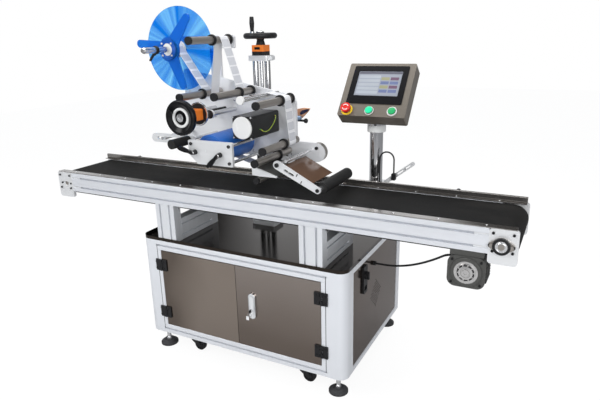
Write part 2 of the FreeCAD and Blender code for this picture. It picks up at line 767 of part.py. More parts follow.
grip_top = [e for e in grip_body.Edges if e.CenterOfMass.z > grip_low
            + grip_length - 1.0 and len(e.Vertexes) == 1]
grip_body = grip_body.makeFillet(3.0, grip_top)
grip_bore = rod("z", grip_at, grip_pin_r + running, grip_low - slack, grip_low + grip_length - 7.0)
keep("top_handle", grip_body.cut(grip_bore))

# Carriage on the column, with the two cross rods and the front bridge
cross_x = px(-172.0)
cross_z = 1075.0
cross_half = 50.0
cross_rod_r = 10.0
cross_screw_r = 8.0
carriage_front = column_y - 38.0
bridge_y = (py(-90.0), py(-78.0))
nose_end = py(-190.0)


def carriage_block():
    """The block bored for the column rods and the lift screw, wide enough for the cross rods."""
    block = box((cross_x - cross_half - 18.0, column_x + 60.0), (carriage_front, column_y + 34.0),
                (cross_z - 40.0, cross_z + 40.0))
    trim = box((cross_x - cross_half - 18.0 - slack, column_x - 62.0),
               (carriage_front + 26.0, column_y + 34.0 + slack),
               (cross_z - 40.0 - slack, cross_z + 40.0 + slack))
    block = soften(block.cut(trim), 4.0, "z")
    for at in rod_places:
        block = block.cut(rod("z", at, column_rod_r + running, cross_z - 41.0, cross_z + 41.0))
    block = block.cut(rod("z", wheel_at, column_screw_r + running, cross_z - 41.0, cross_z + 41.0))
    return block.cut(rod("y", (cross_x, cross_z), cross_screw_r + running, carriage_front - slack,
                         carriage_front + 14.0))


cross_rods = [rod("y", (cross_x + way * cross_half, cross_z), cross_rod_r, bridge_y[1], carriage_front)
              for way in (-1, 1)]
bridge = link((cross_x - cross_half, cross_z), 17.0, (cross_x + cross_half, cross_z), 17.0 - 1e-3,
              *bridge_y)
bridge_disc = rod("y", (cross_x, cross_z), 45.0, bridge_y[0] - 8.0, bridge_y[0])
indicator = soften(box((cross_x - 24.0, cross_x + 24.0), (bridge_y[0] - 52.0, bridge_y[0] - 8.0),
                       (cross_z - 22.0, cross_z + 22.0)), 5.0, "y")
screw_hole = rod("y", (cross_x, cross_z), cross_screw_r + running, bridge_y[0] - 53.0, bridge_y[1] + slack)
keep("lift_carriage", carriage_block(), bridge.cut(screw_hole), bridge_disc.cut(screw_hole),
     indicator.cut(screw_hole), *cross_rods)

front_wheel_r = 67.5
dish_back = nose_end
dish_deep = 24.0
front_dish = rod("y", (cross_x, cross_z), front_wheel_r, dish_back - dish_deep, dish_back)
front_dish = front_dish.makeFillet(8.0, [e for e in front_dish.Edges if len(e.Vertexes) == 1])
front_bowl = cone("y", (cross_x, cross_z), front_wheel_r - 13.0, 30.0, dish_back - dish_deep - 1e-3,
                  dish_back - 8.0)
front_hub = rod("y", (cross_x, cross_z), 16.0, dish_back - 19.0, bridge_y[0] - 52.0 - clear)
front_screw = rod("y", (cross_x, cross_z), cross_screw_r, dish_back - 8.0, carriage_front + 14.0 - clear)
front_knob = rod("y", (cross_x - 38.0, cross_z + 20.0), 8.0, dish_back - 30.0, dish_back - 6.0)
keep("front_handwheel", join([front_dish.cut(front_bowl), front_hub, front_screw, front_knob]))

# Head plate with its right bracket, the slide block behind it, and the upright with its cross bar
plate_ys = (plate_front, plate_back)
plate_low = 885.0
plate_slope = 0.1908
press_pivot = at_xz(200.0, 911.0)
bearing_bore = 8.0
block_depth = 30.0
unwind_at = at_xz(-361.0, 1318.0)
unwind_shaft_r = 12.0
motor_size = 86.0


def plate_outline():
    """The head plate, its top edge falling towards the right."""
    right_top = 1203.0 - plate_slope * 359.0
    corners = [at_xz(-376.0, plate_low), at_xz(165.0, plate_low), at_xz(165.0, right_top),
               at_xz(-376.0, 1237.7)]
    plate = polygon(corners, "y", *plate_ys)
    plate = soften(plate, 40.0, "y", corners[2])
    for corner in (corners[0], corners[3]):
        plate = soften(plate, 14.0, "y", corner)
    arm = link(at_xz(120.0, 917.0), 38.0, at_xz(252.0, 917.0), 38.0 - 1e-3, *plate_ys)
    return plate.fuse(arm)


def head_body():
    """The plate joined with the slide block, bored for the cross rods, screw and press pivot."""
    block = soften(box((cross_x - cross_half - 18.0, cross_x + cross_half + 18.0),
                       (plate_back, plate_back + block_depth),
                       (cross_z - 28.0, cross_z + 28.0)), 4.0, "y")
    housing = rod("y", press_pivot, 22.0, plate_back, plate_back + 18.0)
    upright = box(pair(-229.0, -179.0, cabinet_shift), plate_ys, (1180.0, 1366.0))
    cross_bar = soften(box(pair(-385.0, -100.0, cabinet_shift), (plate_front - 12.0, plate_front),
                           (1318.0, 1368.0)), 8.0, "y")
    whole = join([plate_outline(), block, housing, soften(upright, 6.0, "y"), cross_bar])
    deep = (plate_front - slack, plate_back + block_depth + slack)
    for way in (-1, 1):
        whole = whole.cut(rod("y", (cross_x + way * cross_half, cross_z), cross_rod_r + running, *deep))
    whole = whole.cut(rod("y", (cross_x, cross_z), cross_screw_r + running, *deep))
    whole = whole.cut(rod("y", press_pivot, bearing_bore + running, *deep))
    return whole.cut(rod("y", at_xz(-352.0, 1140.0), 5.0, *deep))


keep("head_plate", head_body())

# Head frame: tie plate, tie rods, roller spindles, unwinder shaft and the slotted bracket
cap_front = py(-188.0)
drum_at = at_xz(-75.0, 952.0)
drum_r = 58.0
black_at = at_xz(-222.0, 971.0)
black_r = 18.5
tie_ys = (cap_front, cap_front + 12.0)
roller_spots = [at_xz(-124.0, 1352.0), at_xz(-187.0, 1147.0), at_xz(-28.0, 1154.0), at_xz(148.0, 1128.0),
                at_xz(167.0, 966.0), at_xz(132.0, 919.0)]
ring_places = [(-42.0, 68.0), (-43.0,), (-18.0, 67.0), (-10.0, 70.0), (-25.0,), (-11.0,)]
peel_roller_at = at_xz(125.0, 850.0)
small_rod_at = at_xz(85.0, 1146.0)


def tie_plate():
    """The plate that ties the drum and rods together in front, its lower left corner cut off."""
    corners = [at_xz(-120.0, 899.0), at_xz(40.0, 899.0), at_xz(40.0, 990.0), at_xz(-160.0, 990.0),
               at_xz(-160.0, 935.0)]
    plate = soften(polygon(corners, "y", *tie_ys), 5.0, "y")
    return plate.cut(rod("y", drum_at, 7.0, tie_ys[0] - slack, tie_ys[0] + 2.0))


def tie_rods():
    """Three round rods from the tie plate to the head plate, with socket screws in front."""
    made = []
    for at in (at_xz(26.0, 976.0), at_xz(26.0, 912.0), at_xz(-147.0, 976.0)):
        made.append(rod("y", at, 6.0, tie_ys[1], plate_front))
        made.append(tube("y", at, 6.0, 2.6, tie_ys[0] - 4.0, tie_ys[0]))
    return made


def spindles():
    """Fixed spindles of the rollers; each carries the roller between its ends."""
    made = []
    for at in roller_spots:
        root = plate_front - (12.0 if at[1] > 1300.0 else 0.0)
        made.append(rod("y", at, spindle_r, cap_front + 6.0, root))
    return made


slot_bar = link(at_xz(-390.0, 971.0), 17.5, at_xz(-204.0, 971.0), 17.5 - 1e-3, py(-112.0), py(-102.0))
slot_hole = link(at_xz(-372.0, 971.0), 6.0, at_xz(-262.0, 971.0), 6.0 - 1e-3, py(-113.0), py(-101.0))
black_spindle = rod("y", black_at, 6.0, py(-214.0), plate_front)
stand_off = rod("y", at_xz(-350.0, 971.0), 8.0, py(-102.0), plate_front)
stand_bolt = rod("y", at_xz(-350.0, 971.0), 6.0, py(-116.0), py(-112.0))
unwind_shaft = rod("y", unwind_at, unwind_shaft_r, py(-160.0), plate_front - 12.0)
unwind_tip = cone("y", unwind_at, unwind_shaft_r - 4.0, unwind_shaft_r, py(-168.0), py(-160.0))
drum_spindle = rod("y", drum_at, 8.0, tie_ys[1], plate_front)
small_rod = rod("y", small_rod_at, 8.0, py(-180.0), plate_front)
small_cap = rod("y", small_rod_at, 15.0, py(-188.0), py(-178.0))
bracket_front = plate_front - 11.0
peel_spindle = rod("y", peel_roller_at, 5.0, py(-158.0), bracket_front)
peel_root = at_xz(118.0, 892.0)
peel_bar_r = 8.0
peel_bracket = link(at_xz(118.0, 896.0), 12.0, peel_roller_at, 9.0, bracket_front, plate_front)
peel_bracket = peel_bracket.cut(rod("y", peel_root, peel_bar_r, bracket_front - slack, plate_front + slack))
film_rod = rod("y", at_xz(230.0, 926.0), 6.0, py(-126.0), plate_front)
slot_bar = slot_bar.cut(slot_hole).cut(rod("y", black_at, 6.0, py(-113.0), py(-101.0)))
keep("head_frame", tie_plate(), *tie_rods(), *spindles(), slot_bar, black_spindle, stand_off,
     stand_bolt, join([unwind_shaft, unwind_tip]), drum_spindle, join([small_rod, small_cap]), peel_spindle,
     peel_bracket, film_rod)

# Guide rollers with black end caps and guide rings, all alike but for their rings
roller_back = plate_front - 5.0
ring_wide = 8.0


def guide_roller(at, rings, back):
    """A tube with a closed cap in front, and the guide rings clamped on it."""
    body = join([rod("y", at, guide_roller_r, cap_front + 5.0, back),
                 rod("y", at, guide_cap_r, cap_front, cap_front + 9.0)])
    body = body.cut(rod("y", at, spindle_r + running, cap_front + 6.0 - clear, back + slack))
    collars = [tube("y", at, guide_ring_r, guide_roller_r, py(place) - ring_wide / 2, py(place)
                    + ring_wide / 2)
               for place in rings]
    return [body] + collars


for number, at in enumerate(roller_spots, 1):
    back = plate_front - 13.5 if at[1] > 1300.0 else roller_back
    keep(f"guide_roller_{number}", *guide_roller(at, ring_places[number - 1], back))

peel_roller = tube("y", peel_roller_at, 11.0, 5.0 + running, py(-150.0), bracket_front - slack)
keep("peel_roller", peel_roller)

drum_ends = (py(-165.0), plate_front - 27.0)
drum = tube("y", drum_at, drum_r, 8.0 + running, *drum_ends)
for ys in ((drum_ends[0] - slack, drum_ends[0] + 4.0), (drum_ends[1] - 4.0, drum_ends[1] + slack)):
    drum = drum.cut(tube("y", drum_at, drum_r - 8.0, 20.0, *ys))
keep("traction_drum", drum)

pinch = tube("y", black_at, black_r, 6.0 + running, py(-101.0) - 112.0, py(-113.0))
keep("black_roller", pinch)

# Unwinder: hub, clear disc and the blue three-armed flange that holds it
hub_r = 24.0
disc_r = 170.0
disc_y = plate_front - 31.0
spider_y = py(-8.0)
spider_angles = (171.0, 51.0, -69.0)
flange_r = 43.0
spider_hub_r = 50.0
hub_front = py(-22.0)


def spider():
    """Three tapered arms around a round hub, bored to grip the core."""
    arms = [rod("y", unwind_at, spider_hub_r, spider_y - 4.0, spider_y + 4.0)]
    for angle in spider_angles:
        turn = math.radians(angle)
        tip = (unwind_at[0] + (disc_r - 16.0) * math.cos(turn), unwind_at[1]
               + (disc_r - 16.0) * math.sin(turn))
        arms.append(link(unwind_at, 30.0, tip, 16.0, spider_y - 4.0, spider_y + 4.0))
    return join(arms).cut(rod("y", unwind_at, hub_r + clear / 2, spider_y - 5.0, spider_y + 5.0))


core = rod("y", unwind_at, hub_r, hub_front, disc_y - 4.0)
core_flange = rod("y", unwind_at, 34.0, disc_y - 4.0, disc_y + 4.0)
hub_shape = join([core, core_flange])
disc = tube("y", unwind_at, disc_r, 34.0, disc_y - 2.0, disc_y + 2.0)
blue_flange = tube("y", unwind_at, flange_r, hub_r, spider_y - 10.0, spider_y - 4.0)
flange_bolts = [rod("y", at, 4.0, spider_y - 13.0, spider_y - 10.0)
                for at in ring_of(3, 34.0, unwind_at, math.radians(111.0))]
hub_hole = rod("y", unwind_at, unwind_shaft_r + running, hub_front - slack, disc_y + 5.0)
keep("unwinder_disc", hub_shape.cut(hub_hole), disc)
keep("unwinder_flange", spider(), blue_flange.cut(rod("y", unwind_at, hub_r + clear / 2, spider_y - 11.0,
                                                      spider_y - 3.0)), *flange_bolts)

# Label motor
motor_at = at_xz(43.0, 1035.0)
half_motor = motor_size / 2
motor_ys = (py(-115.0), plate_front)
label_motor = soften(box((motor_at[0] - half_motor, motor_at[0] + half_motor), motor_ys,
                         (motor_at[1] - half_motor, motor_at[1] + half_motor)), 8.0, "y")
motor_cover = rod("y", motor_at, half_motor - 1.0, motor_ys[0] - 6.0, motor_ys[0])
motor_cover = motor_cover.makeFillet(2.0,
                                     [e for e in motor_cover.Edges
                                      if len(e.Vertexes) == 1 and e.CenterOfMass.y < motor_ys[0] - 5.0])
keep("label_motor", label_motor, motor_cover)

# Peel plate: a wedge that ends in a fine rounded lip, held on a bar from the head plate
lip = at_xz(205.0, 872.0)
lip_r = 1.5
peel_front = py(-151.0)
peel = link(peel_root, 5.0, lip, lip_r, peel_front, bracket_front - 2 * slack)
peel_bar = rod("y", peel_root, peel_bar_r, py(-140.0), plate_front)
peel_side = [at_xz(103.0, 898.0), at_xz(138.0, 894.0), at_xz(207.0, 872.6), at_xz(206.0, 868.0),
             at_xz(130.0, 867.0),
             at_xz(103.0, 870.0)]
peel_side = polygon(peel_side, "y", peel_front - 6.0, peel_front)
keep("peel_plate", join([peel, peel_bar, peel_side]))

# Label web, threaded round the rollers; each wheel is (place, radius, +1 with the centre on its left)
web_gap = 0.35
web_ys = (py(-3.0), py(-3.0 + web_width))


def web_band(wheels, first_angle, last_angle):
    """A thin band that runs tangent to every wheel in turn, between two angles on the end wheels."""
    sides = ([], [])
    count = len(wheels)
    turns = []
    for (c1, r1, s1), (c2, r2, s2) in zip(wheels, wheels[1:]):
        run = V(c2[0] - c1[0], 0, c2[1] - c1[1])
        middle = web_gap + web_thick / 2
        lean = math.atan2(run.z, run.x) - math.asin((s2 * (r2 + middle) - s1 * (r1 + middle)) / run.Length)
        turns.append(lean)
    for track, side in enumerate((1, -1)):
        edges = []
        last = None
        for index, (centre, radius, sense) in enumerate(wheels):
            near = radius + web_gap + (0.0 if side == sense else web_thick)
            start = turns[index - 1] - sense * math.pi / 2 if index else first_angle
            end = turns[index] - sense * math.pi / 2 if index < count - 1 else last_angle
            sweep = (end - start) * sense % (2 * math.pi)
            points = [V(centre[0] + near * math.cos(a), web_ys[0], centre[1] + near * math.sin(a))
                      for a in (start, start + sense * sweep / 2, start + sense * sweep)]
            if last is not None:
                edges.append(Part.makeLine(last, points[0]))
            edges.append(Part.Arc(*points).toShape())
            last = points[2]
        sides[track].extend(edges)
    left, right = sides
    caps = [Part.makeLine(left[0].Vertexes[0].Point, right[0].Vertexes[0].Point),
            Part.makeLine(left[-1].Vertexes[-1].Point, right[-1].Vertexes[-1].Point)]
    wire = Part.Wire(Part.__sortEdges__(left + right + caps))
    return Part.Face(wire).extrude(V(0, web_ys[1] - web_ys[0], 0))


web_wheels = [(unwind_at, hub_r, -1), (roller_spots[1], guide_roller_r, 1),
              (roller_spots[0], guide_roller_r, -1),
              (roller_spots[2], guide_roller_r, 1), (small_rod_at, 8.0, -1),
              (roller_spots[3], guide_roller_r, -1),
              (roller_spots[4], guide_roller_r, -1), (roller_spots[5], guide_roller_r, 1), (lip, lip_r, -1),
              (peel_roller_at, 11.0, -1), (drum_at, drum_r, -1)]
keep("label_web", web_band(web_wheels, math.radians(110.0), math.radians(150.0)))

# Press arm with the foam roller on a cantilever axle, and the brown sheet on its two bars
press_roller_at = at_xz(362.0, 832.0)
press_r = 22.0
press_axle_r = 7.0
arm_ys = (py(-140.0), py(-132.0))
arm_rs = (16.0, 12.0)
film_back = plate_front - 42.0
film_thick = 1.0
film_above = 9.0
film_bar_r = 4.0
film_shares = (0.12, 0.83)


def beside_arm(share, above):
    """A place across Y at a share of the way along the arm, that far above its middle line."""
    run = V(press_roller_at[0] - press_pivot[0], 0, press_roller_at[1] - press_pivot[1])
    up = (-run.z / run.Length, run.x / run.Length)
    return (press_pivot[0] + run.x * share + up[0] * above, press_pivot[1] + run.z * share + up[1] * above)


def press_arm():
    """The tapered arm with its slot, the pivot shaft, the roller's axle and the bars under the sheet."""
    arm = link(press_pivot, arm_rs[0], press_roller_at, arm_rs[1], *arm_ys)
    slot = link(beside_arm(0.2, 0.0), 4.0, beside_arm(0.4, 0.0), 4.0 - 1e-3, arm_ys[0] - slack, arm_ys[1]
                + slack)
    shaft = rod("y", press_pivot, bearing_bore, arm_ys[0] - 6.0, plate_back + 18.0 + 8.0)
    collar = rod("y", press_pivot, 14.0, plate_back + 18.0 + clear, plate_back + 18.0 + 8.0)
    axle = rod("y", press_roller_at, press_axle_r, arm_ys[0] - 3.0, roller_end + 2.4)
    shoulder = rod("y", press_roller_at, 10.0, arm_ys[1], roller_start - clear)
    stop = rod("y", press_roller_at, 10.0, roller_end + clear, roller_end + 2.4)
    bars = [rod("y", beside_arm(share, film_above - film_bar_r), film_bar_r, arm_ys[1], film_back - 4.0)
            for share in (0.3, 0.74)]
    return join([arm.cut(slot), shaft, collar, axle, shoulder, stop] + bars)


roller_start = py(-105.0)
roller_end = py(138.0)
sheet_corners = [beside_arm(film_shares[0], film_above), beside_arm(film_shares[1], film_above),
                 beside_arm(film_shares[1], film_above + film_thick),
                 beside_arm(film_shares[0], film_above + film_thick)]
keep("press_arms", press_arm(), polygon(sheet_corners, "y", arm_ys[1], film_back))

press_roller = tube("y", press_roller_at, press_r, press_axle_r + running, roller_start, roller_end)
keep("press_roller", press_roller)

# Clamping levers in front of the tie plate
lever_spots = ((at_xz(-128.0, 945.0), at_xz(-190.0, 962.0)), (at_xz(-14.0, 942.0), at_xz(-58.0, 898.0)))


def clamp_lever(at, tip):
    """A lever with a hub, a short neck and a thick grip, on a screw through the tie plate."""
    hub = cone("y", at, 8.0, 10.0, tie_ys[0] - 20.0, tie_ys[0] - clear)
    arm = link(at, 6.5, tip, 5.0, tie_ys[0] - 26.0, tie_ys[0] - 15.0)
    arm = arm.makeFillet(2.0, [e for e in arm.Edges if e.CenterOfMass.y < tie_ys[0] - 25.9])
    return join([hub, arm])


for number, (at, tip) in enumerate(lever_spots, 1):
    keep(f"clamp_lever_{number}", clamp_lever(at, tip))

# Screen on its pole behind the belt
pole_at = (px(460.0), py(200.0))
pole_r = 25.5
pole_foot = beam_top + 8.0
pole_high = 1036.0
tilt_at = (py(200.0), 1075.0)
screen_middle = V(px(473.0), py(154.0), 1161.0)
screen_width = 262.0
screen_height = 232.0
screen_deep = 56.0
screen_tilt = math.radians(38.6)
screen_in = V(0, math.cos(screen_tilt), -math.sin(screen_tilt))
screen_up = V(0, math.sin(screen_tilt), math.cos(screen_tilt))


def on_screen(across, up, deep):
    """A point given across and up the screen face and in from it."""
    return screen_middle + V(across, 0, 0) + screen_up * up + screen_in * deep


def screen_block(acrosses, ups, deeps, radius):
    """A block square to the screen face, its corners rounded."""
    corners = [on_screen(acrosses[0], ups[0], deeps[0]), on_screen(acrosses[1], ups[0], deeps[0]),
               on_screen(acrosses[1], ups[1], deeps[0]), on_screen(acrosses[0], ups[1], deeps[0])]
    block = Part.Face(Part.makePolygon(corners + corners[:1])).extrude(screen_in * (deeps[1] - deeps[0]))
    edges = [e for e in block.Edges
             if abs(abs((e.Vertexes[1].Point - e.Vertexes[0].Point).normalize().dot(screen_in)) - 1) < 1e-6]
    return block.makeFillet(radius, edges) if radius else block


def screen_rod(across, up, radius, start, end):
    """A round bar square to the screen face."""
    return Part.makeCylinder(radius, end - start, on_screen(across, up, start), screen_in)


pole = rod("z", pole_at, pole_r, pole_foot, pole_high - 14.0)
collar = rod("z", pole_at, 36.5, pole_high - 14.0, pole_high)
neck = rod("z", pole_at, 18.0, pole_high, tilt_at[1] - 18.0)
cheek_gap = 14.0
fork = [rod("x", tilt_at, 18.0, *sorted((pole_at[0] + way * cheek_gap, pole_at[0]
                                         + way * (cheek_gap + 8.0)))) for way in (-1, 1)]
fork_base = box((pole_at[0] - cheek_gap - 8.0, pole_at[0] + cheek_gap + 8.0),
                (tilt_at[0] - 18.0, tilt_at[0] + 18.0),
                (tilt_at[1] - 34.0, tilt_at[1] - 20.0))
fork_walls = [box(sorted((pole_at[0] + way * cheek_gap, pole_at[0] + way * (cheek_gap + 8.0))),
                  (tilt_at[0] - 18.0, tilt_at[0] + 18.0), (tilt_at[1] - 22.0, tilt_at[1]))
                  for way in (-1, 1)]
tilt_pin = rod("x", tilt_at, 5.0, pole_at[0] - cheek_gap - 10.0, pole_at[0] + cheek_gap + 10.0)
foot_back = box((pole_at[0] - 34.0, pole_at[0] + 34.0), pair(beam_outer, beam_outer + 8.0, line_y),
                (beam_bottom + 1.0, pole_foot))
foot_shelf = box((pole_at[0] - 34.0, pole_at[0] + 34.0), pair(beam_outer + 8.0, beam_outer + 82.0, line_y),
                 (beam_top, pole_foot))
screen_foot = join([foot_back, soften(foot_shelf, 12.0, "z", (pole_at[0] + 34.0, py(beam_outer + 82.0)))])
keep("screen_pole", screen_foot, join([pole, collar, neck, fork_base] + fork + fork_walls + [tilt_pin]))

button_row = -92.0
button_spots = (-96.0, -8.0, 80.0)
stem_r = 9.0


def screen_box():
    """The housing with its sunken display, three button bores and the tilting lug."""
    body = screen_block((-screen_width / 2, screen_width / 2), (-screen_height / 2, screen_height / 2),
                        (0.0, screen_deep), 6.0)
    window = screen_block((-104.0, 104.0), (-58.0, 100.0), (-slack, 2.5), 3.0)
    body = body.cut(window)
    for across in button_spots:
        body = body.cut(screen_rod(across, button_row, stem_r + running, -slack, 26.0))
    lug_xs = (pole_at[0] - cheek_gap + clear, pole_at[0] + cheek_gap - clear)
    lug = rod("x", tilt_at, 17.0, *lug_xs)
    back = on_screen(0.0, 0.0, screen_deep)
    drop = V(0, tilt_at[0] - back.y, tilt_at[1] - back.z)
    foot = drop.dot(screen_up)
    arm = screen_block((lug_xs[0] - screen_middle.x, lug_xs[1] - screen_middle.x),
                       (foot - 14.0, foot + 14.0),
                       (screen_deep, screen_deep + drop.dot(screen_in)), 0)
    return join([body, lug, arm]).cut(rod("x", tilt_at, 5.0 + running, lug_xs[0] - slack, lug_xs[1]
                                          + slack))


display = screen_block((-103.0, 103.0), (-57.0, 99.0), (1.0, 2.5 - 1e-3), 3.0)
stop_collar = screen_rod(button_spots[0], button_row, 22.0, -2.5,
                         0.0).cut(screen_rod(button_spots[0], button_row, stem_r + running, -4.0, 1.0))
keep("screen_box", screen_box(), display, stop_collar,
     *[screen_rod(across, button_row, 15.0, -3.0,
                  0.0).cut(screen_rod(across, button_row, 11.0, -4.0, 1.0)) for across in button_spots[1:]])
stop_head = join([screen_rod(button_spots[0], button_row, 19.0, -22.0, -12.0),
                  screen_rod(button_spots[0], button_row, 13.0, -13.0, -8.0),
                  screen_rod(button_spots[0], button_row, stem_r, -9.0, 14.0)])
keep("stop_button", stop_head)
for name, across in (("start_button", button_spots[1]), ("reset_button", button_spots[2])):
    keep(name, join([screen_rod(across, button_row, 10.5, -9.0, -4.0),
                     screen_rod(across, button_row, stem_r, -5.0, 14.0)]))

# Sensor bracket behind the rear rail: a slotted strip with its small sensor and two clamping screws
bracket_ys = (py(beam_outer + 11.0), py(beam_outer + 15.0))
bracket_low = at_xz(512.0, 803.0)
bracket_high = at_xz(617.0, 884.0)
sensor_at = at_xz(546.0, 829.2)
slot_ends = (at_xz(560.0, 840.0), at_xz(606.0, 875.5))
sensor_bar = link(bracket_low, 8.0, bracket_high, 8.0 - 1e-3, *bracket_ys)
sensor_slot = link(slot_ends[0], 2.2, slot_ends[1], 2.2 - 1e-3, bracket_ys[0] - slack, bracket_ys[1]
                   + slack)
sensor_foot = box((bracket_low[0] - 8.0, bracket_low[0] + 26.0), (py(beam_outer), bracket_ys[1]),
                  (beam_top - 30.0, beam_top + 12.0))
sensor_body = soften(box((sensor_at[0] - 8.0, sensor_at[0] + 8.0), (bracket_ys[0] - 16.0, bracket_ys[0]),
                         (sensor_at[1] - 13.0, sensor_at[1] + 13.0)), 2.5, "y")
sensor_screws = [rod("y", (sensor_at[0] + (slot_ends[1][0] - sensor_at[0]) * share,
                           sensor_at[1] + (slot_ends[1][1] - sensor_at[1]) * share), 5.0, bracket_ys[1],
                           bracket_ys[1] + 8.0)
                 for share in (0.0, 0.62)]
keep("sensor_bracket", join([sensor_bar.cut(sensor_slot), sensor_foot]), sensor_body, *sensor_screws)


def cord(name, points, radius):
    """A round cord of straight runs and tangent arcs through its points."""
    lengths = [(b - a).Length for a, b in zip(points, points[1:])]
    edges = []
    radii = []
    last = points[0]
    for index in range(1, len(points) - 1):
        before = (points[index - 1] - points[index]).normalize()
        after = (points[index + 1] - points[index]).normalize()
        half_turn = (math.pi - before.getAngle(after)) / 2
        bend = 0.45 * min(lengths[index - 1], lengths[index]) / math.tan(half_turn)
        reach = bend * math.tan(half_turn)
        start = points[index] + before * reach
        end = points[index] + after * reach
        inward = (before + after).normalize()
        middle = points[index] + inward * (bend / math.cos(half_turn) - bend)
        if (start - last).Length > 1e-6:
            edges.append(Part.LineSegment(last, start).toShape())
        edges.append(Part.Arc(start, middle, end).toShape())
        radii.append(bend)
        last = end
    edges.append(Part.LineSegment(last, points[-1]).toShape())
    path = Part.Wire(edges)
    direction = (points[1] - points[0]).normalize()
    ring = Part.Wire(Part.Circle(points[0], direction, radius).toShape())
    pipe = path.makePipeShell([ring], True, False)
    length = path.Length
    print(name, "length", round(length, 1), "volume ratio",
          round(pipe.Volume / (math.pi * radius ** 2 * length), 4),
          "smallest bend", round(min(radii), 1), "longest run", round(max(lengths), 1))
    return pipe


def hanging(first, last, sag, parts):
    """Points evenly spaced between two ends, drawn down by a sag in the middle."""
    run = last - first
    shares = [step / parts for step in range(parts + 1)]
    return [first + run * share - V(0, 0, 4 * sag * share * (1 - share)) for share in shares]


gland_end = V(cab_right + 8.0, cable_hole[0], cable_hole[1])
motor_side = V(motor_mid[0] - 40.0, motor_front + 120.0, motor_mid[1] + 4.0)
motor_cord_points = [V(cab_right - 8.0, cable_hole[0], cable_hole[1])]
motor_cord_points += hanging(gland_end + V(38.0, 0.0, 0.0), motor_side - V(42.0, 0.0, 0.0), 20.0,
                             7) + [motor_side]
keep("motor_cord", cord("motor_cord", motor_cord_points, cord_r))
sensor_cord_r = 3.0
sensor_top = V(sensor_at[0], bracket_ys[0] - 8.0, sensor_at[1] + 13.0)
sensor_root = V(px(488.0), py(beam_outer + 8.0), pole_foot + clear)
loop_half = (sensor_top.x - sensor_root.x) / 2
loop_step = loop_half * (1 - math.tan(math.pi / 8))
loop_low = 115.0
sensor_cord_points = [sensor_root, sensor_root + V(-1.5, 0.0, 38.0), sensor_root + V(-1.0, -1.0, 77.0),
                      sensor_root + V(0.0, -2.0, loop_low),
                      sensor_root + V(loop_step, -3.0, loop_low + loop_step),
                      sensor_root + V(2 * loop_half - loop_step, -4.0, loop_low + loop_step),
                      V(sensor_top.x, sensor_top.y, sensor_root.z + loop_low),
                      sensor_top + V(0.0, -1.0, 34.0),
                      sensor_top + V(0.0, 0.0, clear)]
keep("sensor_cord", cord("sensor_cord", sensor_cord_points, sensor_cord_r))

for name, shape in nodes.items():
    shape.exportStep("parts/" + name + ".step")
print(len(nodes), "nodes")
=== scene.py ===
# Flat surface labelling machine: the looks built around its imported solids.
# Everything is in the solids' own frame, in metres: +X along the belt, -Y towards the operator, +Z up.
import math
import bpy
from mathutils import Matrix, Vector


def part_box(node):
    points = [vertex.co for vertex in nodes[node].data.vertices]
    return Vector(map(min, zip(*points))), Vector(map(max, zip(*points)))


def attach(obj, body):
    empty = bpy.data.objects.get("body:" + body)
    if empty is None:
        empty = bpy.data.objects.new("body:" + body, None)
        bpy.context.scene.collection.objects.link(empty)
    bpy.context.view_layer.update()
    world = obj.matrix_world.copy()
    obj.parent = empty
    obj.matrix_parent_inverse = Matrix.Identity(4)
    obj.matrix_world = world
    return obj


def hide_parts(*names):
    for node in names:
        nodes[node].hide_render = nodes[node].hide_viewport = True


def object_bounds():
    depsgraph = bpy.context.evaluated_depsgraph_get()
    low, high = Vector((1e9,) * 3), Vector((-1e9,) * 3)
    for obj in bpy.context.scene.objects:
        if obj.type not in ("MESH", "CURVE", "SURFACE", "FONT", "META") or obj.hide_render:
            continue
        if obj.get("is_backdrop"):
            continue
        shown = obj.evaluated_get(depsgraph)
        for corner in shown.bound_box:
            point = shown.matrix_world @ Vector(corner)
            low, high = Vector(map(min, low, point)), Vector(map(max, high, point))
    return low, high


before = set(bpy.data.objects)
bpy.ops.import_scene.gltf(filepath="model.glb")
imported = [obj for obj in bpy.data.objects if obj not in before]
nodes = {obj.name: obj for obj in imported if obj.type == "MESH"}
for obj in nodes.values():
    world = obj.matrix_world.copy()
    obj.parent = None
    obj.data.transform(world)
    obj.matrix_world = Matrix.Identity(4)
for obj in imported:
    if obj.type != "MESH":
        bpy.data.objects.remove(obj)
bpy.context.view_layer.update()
scene = bpy.context.scene

# Camera. It stands where the photograph was taken from, worked out from the belt, cabinet and feet.
# The turn, tilt and roll are in radians; the lens is for a 36 mm wide picture.
camera_at = Vector((1.12194, -1.96544, 1.36828))
turn, tilt, roll = 0.480438, -0.297045, -0.023377
ahead = Vector((-math.sin(turn) * math.cos(tilt), math.cos(turn) * math.cos(tilt), math.sin(tilt)))
level = Vector((math.cos(turn), math.sin(turn), 0.0))
upward = level.cross(ahead)
right = level * math.cos(roll) + upward * math.sin(roll)
above = upward * math.cos(roll) - level * math.sin(roll)
camera = bpy.data.objects.new("camera", bpy.data.cameras.new("camera"))
camera.data.sensor_width = 36.0
camera.data.lens = 32.632
camera.data.clip_end = 60.0
camera.matrix_world = Matrix((
    (right.x, above.x, -ahead.x, camera_at.x),
    (right.y, above.y, -ahead.y, camera_at.y),
    (right.z, above.z, -ahead.z, camera_at.z),
    (0.0, 0.0, 0.0, 1.0)))
scene.collection.objects.link(camera)
scene.camera = camera
scene.view_settings.view_transform = "Standard"

# World. A pale room lights the machine. The camera sees plain white behind it, also through clear pieces,
# and polished metal mirrors a room of dark and bright patches.


